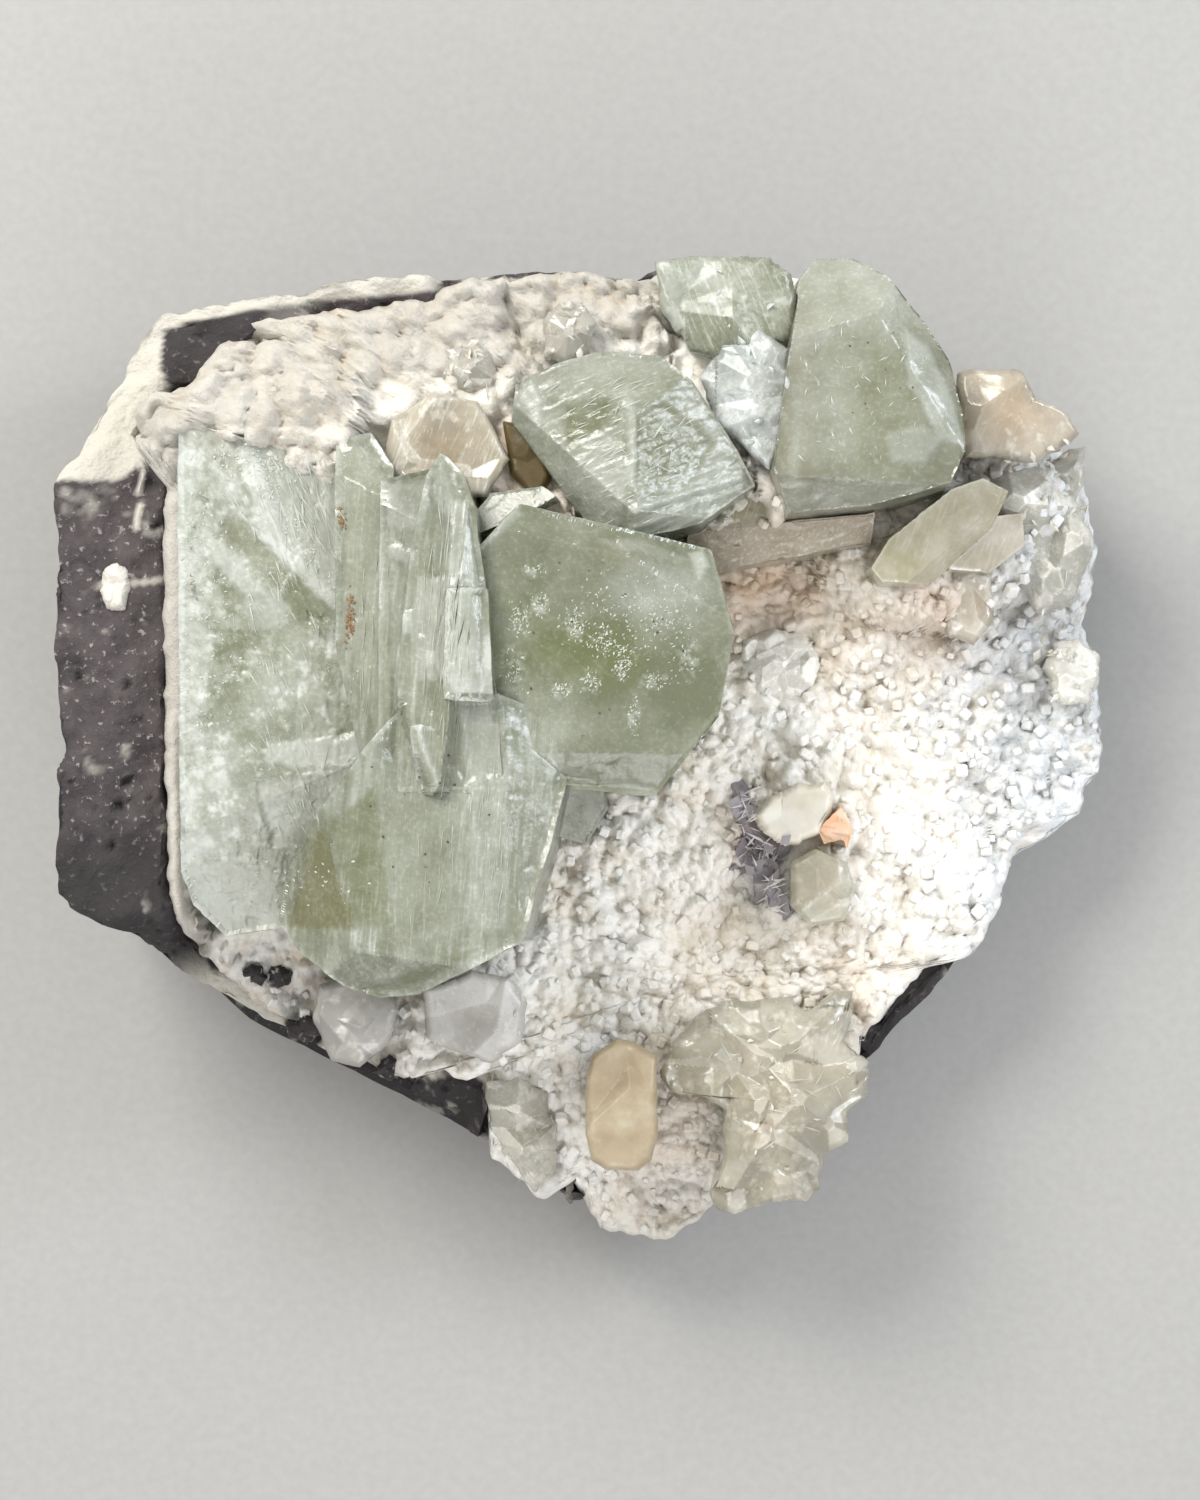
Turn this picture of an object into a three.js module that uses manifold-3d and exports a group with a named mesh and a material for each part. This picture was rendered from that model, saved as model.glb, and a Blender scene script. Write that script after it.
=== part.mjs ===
// A hand specimen of green apophyllite with stilbite and heulandite, grown on the white druse that
// lines a gas cavity in dark basalt. It lies on its sawn base with the cavity facing up.
//
// Units are millimetres. +Z is up, +X runs along the length of the plate and +Y across it towards
// the upper wall of the cavity. The origin ends up in the middle of the base.

import * as THREE from "three";
import { ConvexGeometry } from "three/addons/geometries/ConvexGeometry.js";
import { mergeVertices } from "three/addons/utils/BufferGeometryUtils.js";
import Module from "manifold-3d";

const wasm = await Module();
wasm.setup();

// ---------------------------------------------------------------- driving dimensions

const GAP = 0.3; // clearance between solids that touch
const FLOOR = 20; // height of the druse floor above the base
const WALL = 39; // height of the cavity's broken left and upper walls
const CRUST = 3.4; // thickness of the white druse
const OVERHANG_START = 0.9; // the rock ends this far inside the last ring that it shares with the druse
const STEP = 0.3; // width of the small ledge where the druse ends against bare rock

// Outline of the rock where its sides meet the top, and of its sawn base.
const ROCK_TOP = [
  [-60.5, -16.5], [-60.5, 29.5], [-56.7, 35.6], [-48.6, 48.4], [-38, 50.4], [-22, 52.2], [-4, 54],
  [12, 55.2], [26, 55.4], [33, 51.4], [38, 45], [46, 43], [53, 37.6], [56, 28], [56.4, 16],
  [58, 4], [58.2, -2], [54.2, -8], [47.4, -11.8], [46, -18], [42, -25.4], [36, -32.4], [29.4, -38.6],
  [24, -48], [15, -53], [7, -57], [-1, -54.6], [-8.5, -51.6], [-13.6, -45.8], [-21, -41.2],
  [-32, -35.8], [-42.5, -30], [-50, -21.8],
];
const ROCK_BASE = [
  [-61.5, -18], [-61.5, 30.5], [-57.5, 37], [-49.5, 50.2], [-24, 54], [6, 56.4], [22, 53.6], [32, 46],
  [44, 36], [49, 26], [50.5, 4], [43, -13], [35, -26], [25, -39], [16, -47], [5, -52.6], [-6, -52],
  [-13.4, -48.2], [-20.8, -44.2], [-43.2, -33], [-51, -25.4],
];
// Outline of the druse. On the left it stops against bare rock and on the right it overhangs.
const CRUST_EDGE = [
  [-48.6, -15], [-48.9, 12], [-48.4, 29.4], [-52, 30.4], [-59.6, 30.6], [-56.4, 35.4], [-51.4, 43.4],
  [-48, 40], [-41.6, 39.6], [-39.4, 43.4], [-38, 47.8], [-26, 49.9], [-19, 52.2], [-4, 53.9],
  [12, 55.2], [27, 57], [34, 53], [39.4, 46.6], [47.4, 45], [54.6, 39.4], [58, 31], [59.2, 24],
  [57.4, 16.6], [59.2, 9], [60.4, 4], [60.2, -3], [56, -8.8], [49.2, -11.4], [48, -17.4], [43.4, -25.4],
  [37.2, -32.4], [31, -39], [26.4, -48.6], [17.4, -55.4], [12.8, -53.2], [8.4, -58.6], [2.6, -58.4],
  [-5, -54.8], [-10.6, -51.6], [-14.8, -45.4], [-20, -40], [-25, -38], [-29, -37.2], [-35, -31.6],
  [-39, -30.8], [-43, -27], [-46, -22.4], [-48, -18],
];
const ROOT = 2.5; // how far a crystal's root reaches below the lowest druse round it
// Directions in which the rock and the druse are measured out from the middle: every few degrees,
// and closer together across the trimmed corner, where bare rock and druse alternate.
const SPOKE_STEP = 7.5;
const CORNER = { from: 120, to: 157.5, step: 3.75 };
const SHARED_RINGS = [0.3, 0.54, 0.72, 0.84, 0.93, 1]; // closer where the walls rise
const SIDE_ROWS = [0.34, 0.72]; // where rows of points run round the rock's sides

// ---------------------------------------------------------------- colours

const finish = (color, roughness, more = {}) =>
  new THREE.MeshStandardMaterial({ color, roughness, metalness: 0, flatShading: true, ...more });
const seeThrough = { transparent: true, opacity: 0.75 };
const FINISH = {
  basalt: () => finish(0x4a3f42, 0.9),
  druse: () => finish(0xe9e2d6, 0.7),
  apophyllite: () => finish(0xb4c0a4, 0.2, seeThrough),
  pearly: () => finish(0xd5dddc, 0.35, seeThrough),
  stilbite: () => finish(0xe3d3ba, 0.45),
  peach: () => finish(0xd8b392, 0.5),
  clear: () => finish(0xd2d8d4, 0.15, seeThrough),
  grey: () => finish(0xb3b3b8, 0.3, seeThrough),
  dark: () => finish(0x5b525a, 0.4),
  orange: () => finish(0xd98a55, 0.5),
};

// ---------------------------------------------------------------- lie of the druse and the rock

const ease = THREE.MathUtils.smoothstep;
const fall = (value, low, high) => 1 - ease(value, low, high);

// How far the cavity wall has risen at a place: 0 on the floor, 1 on top of the wall. A gentle foot
// carries the big crystals, and the steep part stands behind them.
const leftWall = (x, y) => 0.42 * fall(x, -44, -12) * ease(y, -34, -16) + 0.58 * fall(x, -47.5, -42.5);
const upperWall = (x, y) => (0.4 * ease(y, 20, 40) + 0.6 * ease(y, 38, 53)) * fall(x, -12, 28);
const cornerWall = (x, y) => fall(x, -32, -22) * ease(y, 32, 39);
const wallAt = (x, y) => Math.max(leftWall(x, y), upperWall(x, y), cornerWall(x, y));

// Low swells all over the druse and the broken rock.
const swell = (x, y) =>
  0.5 * Math.sin(0.31 * x + 1.1) * Math.cos(0.27 * y - 0.6) + 0.4 * Math.sin(0.63 * x - 0.47 * y);

// Height of the druse: a floor that falls away towards the right and lower rims, a hollow with dark
// blades in it, and the walls.
function druseHeight(x, y) {
  const rimFall = 4 * ease(x, 36, 60) + 4 * fall(y, -56, -40);
  const hollow = 4 * Math.exp(-(((x - 18.5) / 3) ** 2) - ((y + 13) / 7) ** 2);
  const wall = wallAt(x, y);
  return FLOOR + (WALL - FLOOR) * wall + (1 - 0.6 * wall) * swell(x, y) - (rimFall + hollow) * (1 - wall);
}
const bareHeight = (x, y) => {
  const wall = Math.max(fall(x, -49, -41), upperWall(x, y));
  return FLOOR - 2.6 + (WALL - FLOOR + 1.6) * wall + 0.5 * swell(1.7 * x, 1.7 * y);
};

// ---------------------------------------------------------------- crystals, by their faces

const radians = THREE.MathUtils.degToRad;
const UP = new THREE.Vector3(0, 0, 1);

// The direction with this compass angle from +X and this angle above the horizontal.
const direction = (compass, rise) =>
  new THREE.Vector3(
    Math.cos(radians(compass)) * Math.cos(radians(rise)),
    Math.sin(radians(compass)) * Math.cos(radians(rise)),
    Math.sin(radians(rise)),
  );

// A flat face: everything in the crystal lies on the inner side of the plane through the point.
const faceThrough = (normal, point) => ({ normal, reach: normal.dot(point) });

// The flat root under a crystal, just below the lowest druse at the places.
const rootUnder = (places) => Math.min(...places.map(([x, y]) => druseHeight(x, y))) - ROOT;
const flatFoot = (foot) => faceThrough(UP.clone().negate(), new THREE.Vector3(0, 0, foot));

// A crystal that stands on its plan outline. Each roof face is a height above the named spot (or
// above the middle of the outline), the compass angle in which it falls, and how steeply it falls.
// The sides lean out below by the angle `splay`.
function standing({ outline, foot = rootUnder(outline), roof, splay = 2 }) {
  const middle = outline
    .reduce((sum, [x, y]) => sum.add(new THREE.Vector2(x, y)), new THREE.Vector2())
    .divideScalar(outline.length);
  const angleOf = ([x, y]) => Math.atan2(y - middle.y, x - middle.x);
  const ring = [...outline].sort((a, b) => angleOf(a) - angleOf(b));
  const top = Math.max(...roof.map((face) => face.height));
  const sides = ring.map(([x, y], i) => {
    const [nextX, nextY] = ring[(i + 1) % ring.length];
    const outward = new THREE.Vector3(nextY - y, x - nextX, 0).normalize();
    outward.multiplyScalar(Math.cos(radians(splay))).addScaledVector(UP, Math.sin(radians(splay)));
    return faceThrough(outward, new THREE.Vector3(x, y, top));
  });
  const roofs = roof.map(({ height, falls = 0, slope = 0, spot = [middle.x, middle.y] }) =>
    faceThrough(direction(falls, 90 - slope), new THREE.Vector3(spot[0], spot[1], height)),
  );
  return [...sides, ...roofs, flatFoot(foot)];
}

// A tetragonal crystal of apophyllite: four prism faces round the c axis, a flat end at each tip,
// and four pyramid faces at each tip, set over the prism's edges. `points` says how far from the
// middle the pyramid faces would meet if the flat ends did not cut them off.
const PYRAMID_ANGLE = 60.4; // between the c axis and the normal of a pyramid face
function tetragonal({ at, axis, turn, half, ends, points }) {
  const middle = new THREE.Vector3(...at);
  const toCrystal = new THREE.Quaternion().setFromUnitVectors(UP, direction(...axis));
  const inCrystal = (compass, rise) => direction(compass + turn, rise).applyQuaternion(toCrystal);
  const at0 = (normal, reach) => ({ normal, reach: reach + normal.dot(middle) });
  const faces = [0, 1, 2, 3].map((side) => at0(inCrystal(90 * side, 0), half[side % 2]));
  [1, -1].forEach((tip, i) => {
    faces.push(at0(inCrystal(0, 90 * tip), ends[i]));
    const reach = points[i] * Math.cos(radians(PYRAMID_ANGLE));
    for (let side = 0; side < 4; side++)
      faces.push(at0(inCrystal(45 + 90 * side, tip * (90 - PYRAMID_ANGLE)), reach));
  });
  return [...faces, flatFoot(rootUnder([at]))];
}

// The corners of the space inside all the faces, each face first moved outwards by `grow`.
function cornersOf(faces, grow) {
  const planes = faces.map(({ normal, reach }) => ({ normal, reach: reach + grow }));
  const corners = [];
  const slack = 1e-6;
  planes.forEach((a, i) =>
    planes.slice(i + 1).forEach((b, j) => {
      const along = new THREE.Vector3().crossVectors(a.normal, b.normal);
      for (const c of planes.slice(i + j + 2)) {
        const determinant = along.dot(c.normal);
        if (Math.abs(determinant) < slack) continue;
        const corner = new THREE.Vector3()
          .addScaledVector(new THREE.Vector3().crossVectors(b.normal, c.normal), a.reach)
          .addScaledVector(new THREE.Vector3().crossVectors(c.normal, a.normal), b.reach)
          .addScaledVector(along, c.reach)
          .divideScalar(determinant);
        const isNew = corners.every((other) => other.distanceTo(corner) > 0.02);
        if (isNew && planes.every((p) => p.normal.dot(corner) < p.reach + 1e-4)) corners.push(corner);
      }
    }),
  );
  return corners;
}

// ---------------------------------------------------------------- solids

function toSolid(geometry) {
  const bare = geometry.clone();
  bare.deleteAttribute("normal");
  bare.deleteAttribute("uv");
  const merged = mergeVertices(bare, 1e-3);
  return new wasm.Manifold(
    new wasm.Mesh({
      numProp: 3,
      vertProperties: merged.attributes.position.array,
      triVerts: new Uint32Array(merged.index.array),
    }),
  );
}

const crystalSolid = (faces, grow = 0) => toSolid(new ConvexGeometry(cornersOf(faces, grow)));
const joined = (solids) => solids.reduce((all, solid) => all.add(solid));
const largestBody = (solid) =>
  solid.decompose().reduce((big, body) => (body.volume() > big.volume() ? body : big));

function toGeometry(solid) {
  const { vertProperties, triVerts } = solid.getMesh();
  const geometry = new THREE.BufferGeometry()
    .setAttribute("position", new THREE.BufferAttribute(vertProperties, 3))
    .setIndex(new THREE.BufferAttribute(triVerts, 1));
  geometry.computeVertexNormals();
  return geometry;
}

// ---------------------------------------------------------------- the rock and its druse, as rings

// Distance from the middle to an outline in one direction.
function reachOf(outline, angle) {
  const dir = new THREE.Vector2(Math.cos(angle), Math.sin(angle));
  let reach = 0;
  outline.forEach(([x, y], i) => {
    const [nextX, nextY] = outline[(i + 1) % outline.length];
    const edge = new THREE.Vector2(nextX - x, nextY - y);
    const turn = dir.cross(edge);
    const along = (x * edge.y - y * edge.x) / turn;
    const share = (x * dir.y - y * dir.x) / turn;
    if (along > 0 && share >= 0 && share <= 1) reach = Math.max(reach, along);
  });
  return reach;
}

const everyStep = (from, to, step) =>
  Array.from({ length: Math.ceil((to - from) / step - 1e-9) }, (_, i) => from + i * step);
const spokeAngles = [
  ...everyStep(0, CORNER.from, SPOKE_STEP),
  ...everyStep(CORNER.from, CORNER.to, CORNER.step),
  ...everyStep(CORNER.to, 360, SPOKE_STEP),
];
const SPOKES = spokeAngles.length;
const spokes = spokeAngles.map((degrees) => {
  const angle = radians(degrees);
  const crust = reachOf(CRUST_EDGE, angle);
  const rock = reachOf(ROCK_TOP, angle);
  return {
    crust,
    rock,
    base: reachOf(ROCK_BASE, angle),
    shared: Math.min(crust, rock - OVERHANG_START),
    isBare: rock > crust + 4 * STEP,
    place: (radius, height) => {
      const x = radius * Math.cos(angle);
      const y = radius * Math.sin(angle);
      return [x, y, height(x, y)];
    },
  };
});
// The druse overhangs the rock only where neither neighbour stops against bare rock.
const isBareAt = (i) => spokes[(i + SPOKES) % SPOKES].isBare;
spokes.forEach((spoke, i) => {
  const nearBare = isBareAt(i - 1) || isBareAt(i) || isBareAt(i + 1);
  spoke.edge = nearBare ? spoke.shared + STEP : Math.max(spoke.crust, spoke.shared + STEP);
});

// A closed solid from rings of points that are listed from the top's middle to the bottom's middle.
// Each four-sided cell is split from its inner corner to the next spoke's outer corner, on the way
// out and on the way back, so that surfaces above each other have the same creases.
function ringSolid(top, rings, bottom) {
  const points = [top, ...rings.flat(), bottom];
  const at = (ring, spoke) => 1 + ring * SPOKES + (spoke % SPOKES);
  const out = ([x, y]) => Math.hypot(x, y);
  const triangles = [];
  for (let s = 0; s < SPOKES; s++) {
    triangles.push(0, at(0, s), at(0, s + 1));
    for (let r = 0; r + 1 < rings.length; r++) {
      const [a, b, c, d] = [at(r, s), at(r + 1, s), at(r + 1, s + 1), at(r, s + 1)];
      const outwards = out(rings[r + 1][s]) >= out(rings[r][s]);
      triangles.push(...(outwards ? [a, b, c, a, c, d] : [a, b, d, b, c, d]));
    }
    triangles.push(points.length - 1, at(rings.length - 1, s + 1), at(rings.length - 1, s));
  }
  const geometry = new THREE.BufferGeometry()
    .setAttribute("position", new THREE.Float32BufferAttribute(points.flat(), 3))
    .setIndex(triangles);
  return toSolid(geometry);
}

const ringOf = (radius, height) => spokes.map((spoke) => spoke.place(radius(spoke), height));
const underCrust = (x, y) => druseHeight(x, y) - CRUST;

function druseSolid() {
  const shared = SHARED_RINGS.map((share) => (spoke) => share * spoke.shared);
  const rounded = (x, y) => druseHeight(x, y) - CRUST / 2;
  const upper = shared.map((radius) => ringOf(radius, druseHeight));
  const lower = shared.map((radius) => ringOf(radius, underCrust)).reverse();
  return ringSolid(
    [0, 0, druseHeight(0, 0)],
    [...upper, ringOf((spoke) => spoke.edge, rounded), ...lower],
    [0, 0, underCrust(0, 0)],
  );
}

function rockSolid() {
  const bed = (x, y) => underCrust(x, y) - GAP;
  const shared = SHARED_RINGS.map((share) => ringOf((spoke) => share * spoke.shared, bed));
  const ledge = spokes.map((s) => s.place(s.isBare ? s.crust + 2 * STEP : s.rock - 2 * STEP, bed));
  const lip = spokes.map((s) =>
    s.place(s.isBare ? s.crust + 3 * STEP : s.rock - STEP, s.isBare ? bareHeight : bed),
  );
  const crest = spokes.map((s) =>
    s.place(s.rock, (x, y) => (s.isBare ? bareHeight(x, y) - 0.6 : bed(x, y) - 1)),
  );
  const rows = SIDE_ROWS.map((share, row) =>
    spokes.map((s, i) => {
      const [, , height] = crest[i];
      const rough = 0.8 * Math.sin(1.9 * i + 2.3 * row) * Math.sin(0.7 * i + row);
      return s.place(THREE.MathUtils.lerp(s.rock, s.base, share) + rough, () => height * (1 - share));
    }),
  );
  const base = ringOf((spoke) => spoke.base, () => 0);
  return ringSolid([0, 0, bed(0, 0)], [...shared, ledge, lip, crest, ...rows, base], [0, 0, 0]);
}

// ---------------------------------------------------------------- the crystals

// Each entry is one loose piece. Crystals that grew through each other share an entry and are joined.
const PIECES = {
  // The long striated prism, its parallel side crystals, and the block that grew through it.
  apophyllite_main: {
    look: "apophyllite",
    crystals: [
      // lower, wide part of the prism
      standing({
        outline: [
          [-12, 6], [-20, 6], [-24.5, 0.5], [-30.3, -7.2], [-33.8, -14], [-34.6, -18.5], [-32.6, -21.5],
          [-27.7, -25.3], [-24, -26.5], [-20.1, -26.1], [-8.9, -20.5], [-5.7, -9.1], [-4.3, -3.4], [-5, 3],
        ],
        foot: 19,
        roof: [
          { height: 48.4, falls: -90, slope: 3 },
          { height: 48.2, falls: 196, slope: 36, spot: [-28.3, -13] },
          { height: 48, falls: 5, slope: 26, spot: [-9.6, -6] },
          { height: 47, falls: -98, slope: 42, spot: [-22, -23] },
        ],
      }),
      // upper, slender part that ends in a point
      standing({
        outline: [
          [-17.1, 31.5], [-18.2, 29.5], [-19.8, 22], [-21.3, 8], [-21.5, -4], [-11.3, -4], [-11.6, 4],
          [-13, 18], [-14, 26], [-15.4, 29.6],
        ],
        foot: 26,
        roof: [
          { height: 50.4, falls: 90, slope: 2 },
          { height: 50.2, falls: 0, slope: 24, spot: [-14.6, 10] },
          { height: 50.2, falls: 180, slope: 20, spot: [-18.2, 10] },
          { height: 50, falls: 80, slope: 34, spot: [-16.8, 28] },
        ],
      }),
      // raised column that ends in a square step
      standing({
        outline: [[-16, 17], [-16.3, 5.9], [-12.1, 5.7], [-12.6, 17]],
        foot: 40,
        roof: [{ height: 51.4, falls: 180, slope: 5 }, { height: 51.2, falls: 0, slope: 22, spot: [-13.4, 10] }],
      }),
      // narrow rib below it
      standing({
        outline: [[-20, 2.2], [-19.4, -4.2], [-18.2, -4.4], [-17.6, 2.2]],
        foot: 40,
        roof: [{ height: 50, falls: -90, slope: 6 }],
      }),
      // side crystal with a bluish flat end
      standing({
        outline: [[-23.4, 28.9], [-23.6, 0], [-17.8, 0], [-17.8, 30.2]],
        foot: 25,
        roof: [{ height: 47.8, falls: 200, slope: 10 }, { height: 47.4, falls: 75, slope: 30, spot: [-20.5, 27] }],
      }),
      // green band along the left
      standing({
        outline: [[-28.4, 33.5], [-25.5, 34.3], [-23.2, 31], [-22.8, 0], [-25.5, -1.5], [-28.4, 12]],
        foot: 26,
        roof: [{ height: 45.6, falls: 185, slope: 12 }, { height: 45, falls: 80, slope: 30, spot: [-26, 30] }],
      }),
      // the block, its flat basal face towards +Z
      standing({
        outline: [
          [-8.6, 26.2], [-14.5, 20], [-15, -1], [-6, -3.4], [5.8, -4.4], [12.4, 3.9], [14, 12.8], [11.7, 21.5],
        ],
        foot: 16.5,
        splay: 1,
        roof: [
          { height: 47.6, falls: -112, slope: 5 },
          { height: 47, falls: 58, slope: 40, spot: [9.4, 19] },
          { height: 47, falls: -94, slope: 30, spot: [0, 0.2] },
          { height: 47.4, falls: 78, slope: 30, spot: [1, 23.4] },
          { height: 46.6, falls: -40, slope: 56, spot: [9.4, -0.4] },
        ],
      }),
    ],
  },
  // The crystal against the left wall, broken off level with it. Its upper side is a cleavage.
  apophyllite_left: {
    look: "apophyllite",
    crystals: [
      standing({
        outline: [
          [-45.8, 35.3], [-28.6, 35.6], [-24.6, 0.5], [-34.8, -19.2], [-41.6, -20.3], [-44.8, -17],
          [-45.9, -13.5],
        ],
        splay: 1,
        roof: [
          { height: 42, falls: -100, slope: 3, spot: [-38, 8] },
          { height: 42, falls: -72, slope: 20, spot: [-38, -4] },
          { height: 43, falls: 40, slope: 12, spot: [-32, 22] },
        ],
      }),
    ],
  },
  // Roof-shaped crystal above the block.
  apophyllite_upper: {
    look: "apophyllite",
    crystals: [
      standing({
        outline: [
          [-9.4, 36.3], [-9, 40], [-5, 42], [0, 43.5], [6.6, 43], [9.9, 40.3], [14.8, 32.9], [16.7, 29.4],
          [11, 25.2], [3.5, 23.2], [-0.8, 24.8],
        ],
        roof: [
          { height: 46.4, falls: 186, slope: 15, spot: [4, 33] },
          { height: 46.4, falls: -2, slope: 24, spot: [4, 33] },
          { height: 45.4, falls: -62, slope: 40, spot: [9, 27.6] },
          { height: 45.4, falls: 84, slope: 26, spot: [2, 39] },
          { height: 43.4, falls: 218, slope: 48, spot: [-4.4, 32.4] },
        ],
      }),
    ],
  },
  apophyllite_right: {
    look: "apophyllite",
    crystals: [
      standing({
        outline: [
          [21, 26.4], [19, 30.9], [20.5, 42], [22.3, 52], [24, 54.5], [28, 54.5], [31.5, 52.5], [35.5, 47.8],
          [38.6, 43], [40, 37], [40.2, 33], [38.6, 29.6], [30, 27.2],
        ],
        roof: [
          { height: 43, falls: -15, slope: 7 },
          { height: 42, falls: 25, slope: 34, spot: [35.6, 41] },
          { height: 42.6, falls: 100, slope: 38, spot: [26, 48] },
          { height: 42.4, falls: -85, slope: 40, spot: [30, 29.4] },
        ],
      }),
    ],
  },
  // Broken green mass that reaches the upper edge of the plate.
  apophyllite_edge: {
    look: "apophyllite",
    crystals: [
      standing({
        outline: [[4.5, 45], [4.2, 53], [11, 54.8], [18.4, 55.6], [21.2, 51.6], [20.4, 45]],
        roof: [{ height: 39.5, falls: 100, slope: 8 }, { height: 39, falls: 195, slope: 26, spot: [8.6, 51] }],
      }),
    ],
  },
  // Flat crystal under the upper and the right ones.
  apophyllite_low: {
    look: "apophyllite",
    crystals: [
      standing({
        outline: [[10, 22.3], [12.4, 20.6], [30.6, 23.7], [31.2, 29], [20, 32], [10, 30]],
        roof: [{ height: 33, falls: -70, slope: 10 }, { height: 32, falls: -82, slope: 42, spot: [20, 24.6] }],
      }),
    ],
  },
  apophyllite_small: {
    look: "clear",
    crystals: [
      tetragonal({ at: [25.6, -15.4, 21.4], axis: [-70, 62], turn: 20, half: [3.9, 4.1], ends: [4.2, 5], points: [9.5, 14] }),
    ],
  },
  // Bluish white broken crystal in the notch between the upper and the right ones.
  pearly_fragment: {
    look: "pearly",
    crystals: [
      standing({
        outline: [
          [10, 47.4], [10.4, 40], [15.4, 32.6], [18, 29.6], [20, 32], [20.6, 40], [20.6, 46], [15, 49.6],
        ],
        roof: [{ height: 43.4, falls: 240, slope: 12 }, { height: 43, falls: 80, slope: 26, spot: [15, 44] }],
      }),
    ],
  },
  stilbite_upper: {
    look: "stilbite",
    crystals: [
      standing({
        outline: [
          [-25, 35.8], [-22, 40.4], [-15.6, 41.2], [-11.4, 38], [-10.6, 33], [-12.2, 28.6], [-15, 29.4],
          [-24.4, 33.6],
        ],
        roof: [{ height: 43, falls: -80, slope: 12 }, { height: 42.6, falls: 100, slope: 32, spot: [-17, 38.4] },
          { height: 42.4, falls: 10, slope: 34, spot: [-13.4, 34] }],
      }),
    ],
  },
  stilbite_right: {
    look: "stilbite",
    crystals: [
      standing({
        outline: [
          [40.7, 43.4], [46.4, 44.3], [50, 42], [55, 38.4], [55.2, 35.6], [51.4, 32.6], [43.4, 32.2],
          [40.7, 35.6],
        ],
        roof: [{ height: 32, falls: -20, slope: 9 }, { height: 31.6, falls: 60, slope: 32, spot: [48, 41] },
          { height: 31.6, falls: -100, slope: 40, spot: [47, 34.6] }],
      }),
    ],
  },
  stilbite_peach: {
    look: "peach",
    crystals: [
      standing({
        outline: [[37.6, 13.2], [40.4, 11.8], [44.2, 13], [45.4, 18], [43.6, 20.2], [38, 18.6]],
        roof: [{ height: 27, falls: -80, slope: 14 }, { height: 26.6, falls: 160, slope: 34, spot: [40, 16] }],
      }),
    ],
  },
  stilbite_lower: {
    look: "peach",
    crystals: [
      standing({
        outline: [
          [1.8, -32.7], [-1.4, -35.1], [-1.9, -46], [0.2, -47.9], [5, -47.7], [6.7, -46], [6.4, -35.6],
        ],
        roof: [
          { height: 30.6, falls: -90, slope: 7 },
          { height: 30.4, falls: 180, slope: 34, spot: [0.2, -41] },
          { height: 30.4, falls: 0, slope: 34, spot: [4.8, -41] },
          { height: 30.4, falls: 90, slope: 30, spot: [2, -36.4] },
        ],
      }),
    ],
  },
  blade_long: {
    look: "clear",
    crystals: [
      standing({
        outline: [
          [30.7, 20.4], [31.9, 19.1], [37.2, 18.9], [44.3, 25.4], [45.9, 29.2], [43.1, 30.5], [39.6, 29.2],
          [32.6, 23.6],
        ],
        roof: [{ height: 33, falls: -45, slope: 14 }, { height: 32.6, falls: -48, slope: 50, spot: [37.8, 21.8] }],
      }),
    ],
  },
  blade_back: {
    look: "clear",
    crystals: [
      standing({
        outline: [[38.4, 20.8], [44.4, 20.4], [48.2, 23.4], [48, 26.8], [45, 26.4], [39.4, 21.8]],
        roof: [{ height: 29, falls: -30, slope: 18 }],
      }),
    ],
  },
  clear_right_a: {
    look: "clear",
    crystals: [
      standing({
        outline: [[45.4, 29.6], [46, 31.6], [55, 35.4], [56.8, 30], [55.8, 26.6], [49, 25.4]],
        roof: [{ height: 30, falls: -60, slope: 16 }, { height: 29, falls: 30, slope: 34, spot: [53.4, 30] }],
      }),
    ],
  },
  clear_right_b: {
    look: "clear",
    crystals: [
      standing({
        outline: [[48, 19.4], [48, 24.8], [56.8, 25.6], [58, 22.4], [56.4, 17.2], [51.6, 16.4]],
        roof: [{ height: 26.6, falls: 20, slope: 20 }, { height: 26, falls: -100, slope: 36, spot: [53.4, 19.4] }],
      }),
    ],
  },
  clear_right_c: {
    look: "clear",
    crystals: [
      tetragonal({ at: [55.6, 9.6, 17.6], axis: [20, 50], turn: 15, half: [3.4, 3.8], ends: [3.6, 4.6], points: [8.4, 13] }),
    ],
  },
  clear_upper_a: {
    look: "clear",
    crystals: [
      tetragonal({ at: [-3.4, 46.4, 35.4], axis: [-80, 62], turn: 30, half: [3, 3.2], ends: [4, 4.4], points: [7.6, 12] }),
    ],
  },
  clear_upper_b: {
    look: "clear",
    crystals: [
      tetragonal({ at: [-14.2, 43.4, 33.4], axis: [-60, 50], turn: 10, half: [2.6, 3], ends: [3.8, 4.4], points: [7, 11] }),
    ],
  },
  clear_upper_c: {
    look: "clear",
    crystals: [
      standing({
        outline: [[-13.6, 22.6], [-13.7, 25.6], [-11.8, 28], [-6.4, 28.6], [-4.6, 27.4], [-8, 26]],
        foot: 30,
        roof: [{ height: 45.4, falls: 120, slope: 24, spot: [-11, 25] }],
      }),
    ],
  },
  // Small brownish crystal at the foot of the block.
  clear_middle: {
    look: "grey",
    crystals: [
      standing({
        outline: [[-4, -4.2], [-4.6, -9.6], [-1.8, -10.4], [0.4, -6.6], [0.2, -4.2]],
        roof: [{ height: 30, falls: -60, slope: 30, spot: [-3, -6] }],
      }),
    ],
  },
  heulandite_a: {
    look: "grey",
    crystals: [
      standing({
        outline: [[-31.6, -31], [-30.4, -28], [-25.6, -26.6], [-22.8, -29.4], [-23.4, -34.6], [-27.6, -35.8]],
        roof: [{ height: 25, falls: -60, slope: 20 }, { height: 24.6, falls: 190, slope: 40, spot: [-29.4, -31] }],
      }),
    ],
  },
  heulandite_b: {
    look: "grey",
    crystals: [
      standing({
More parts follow.
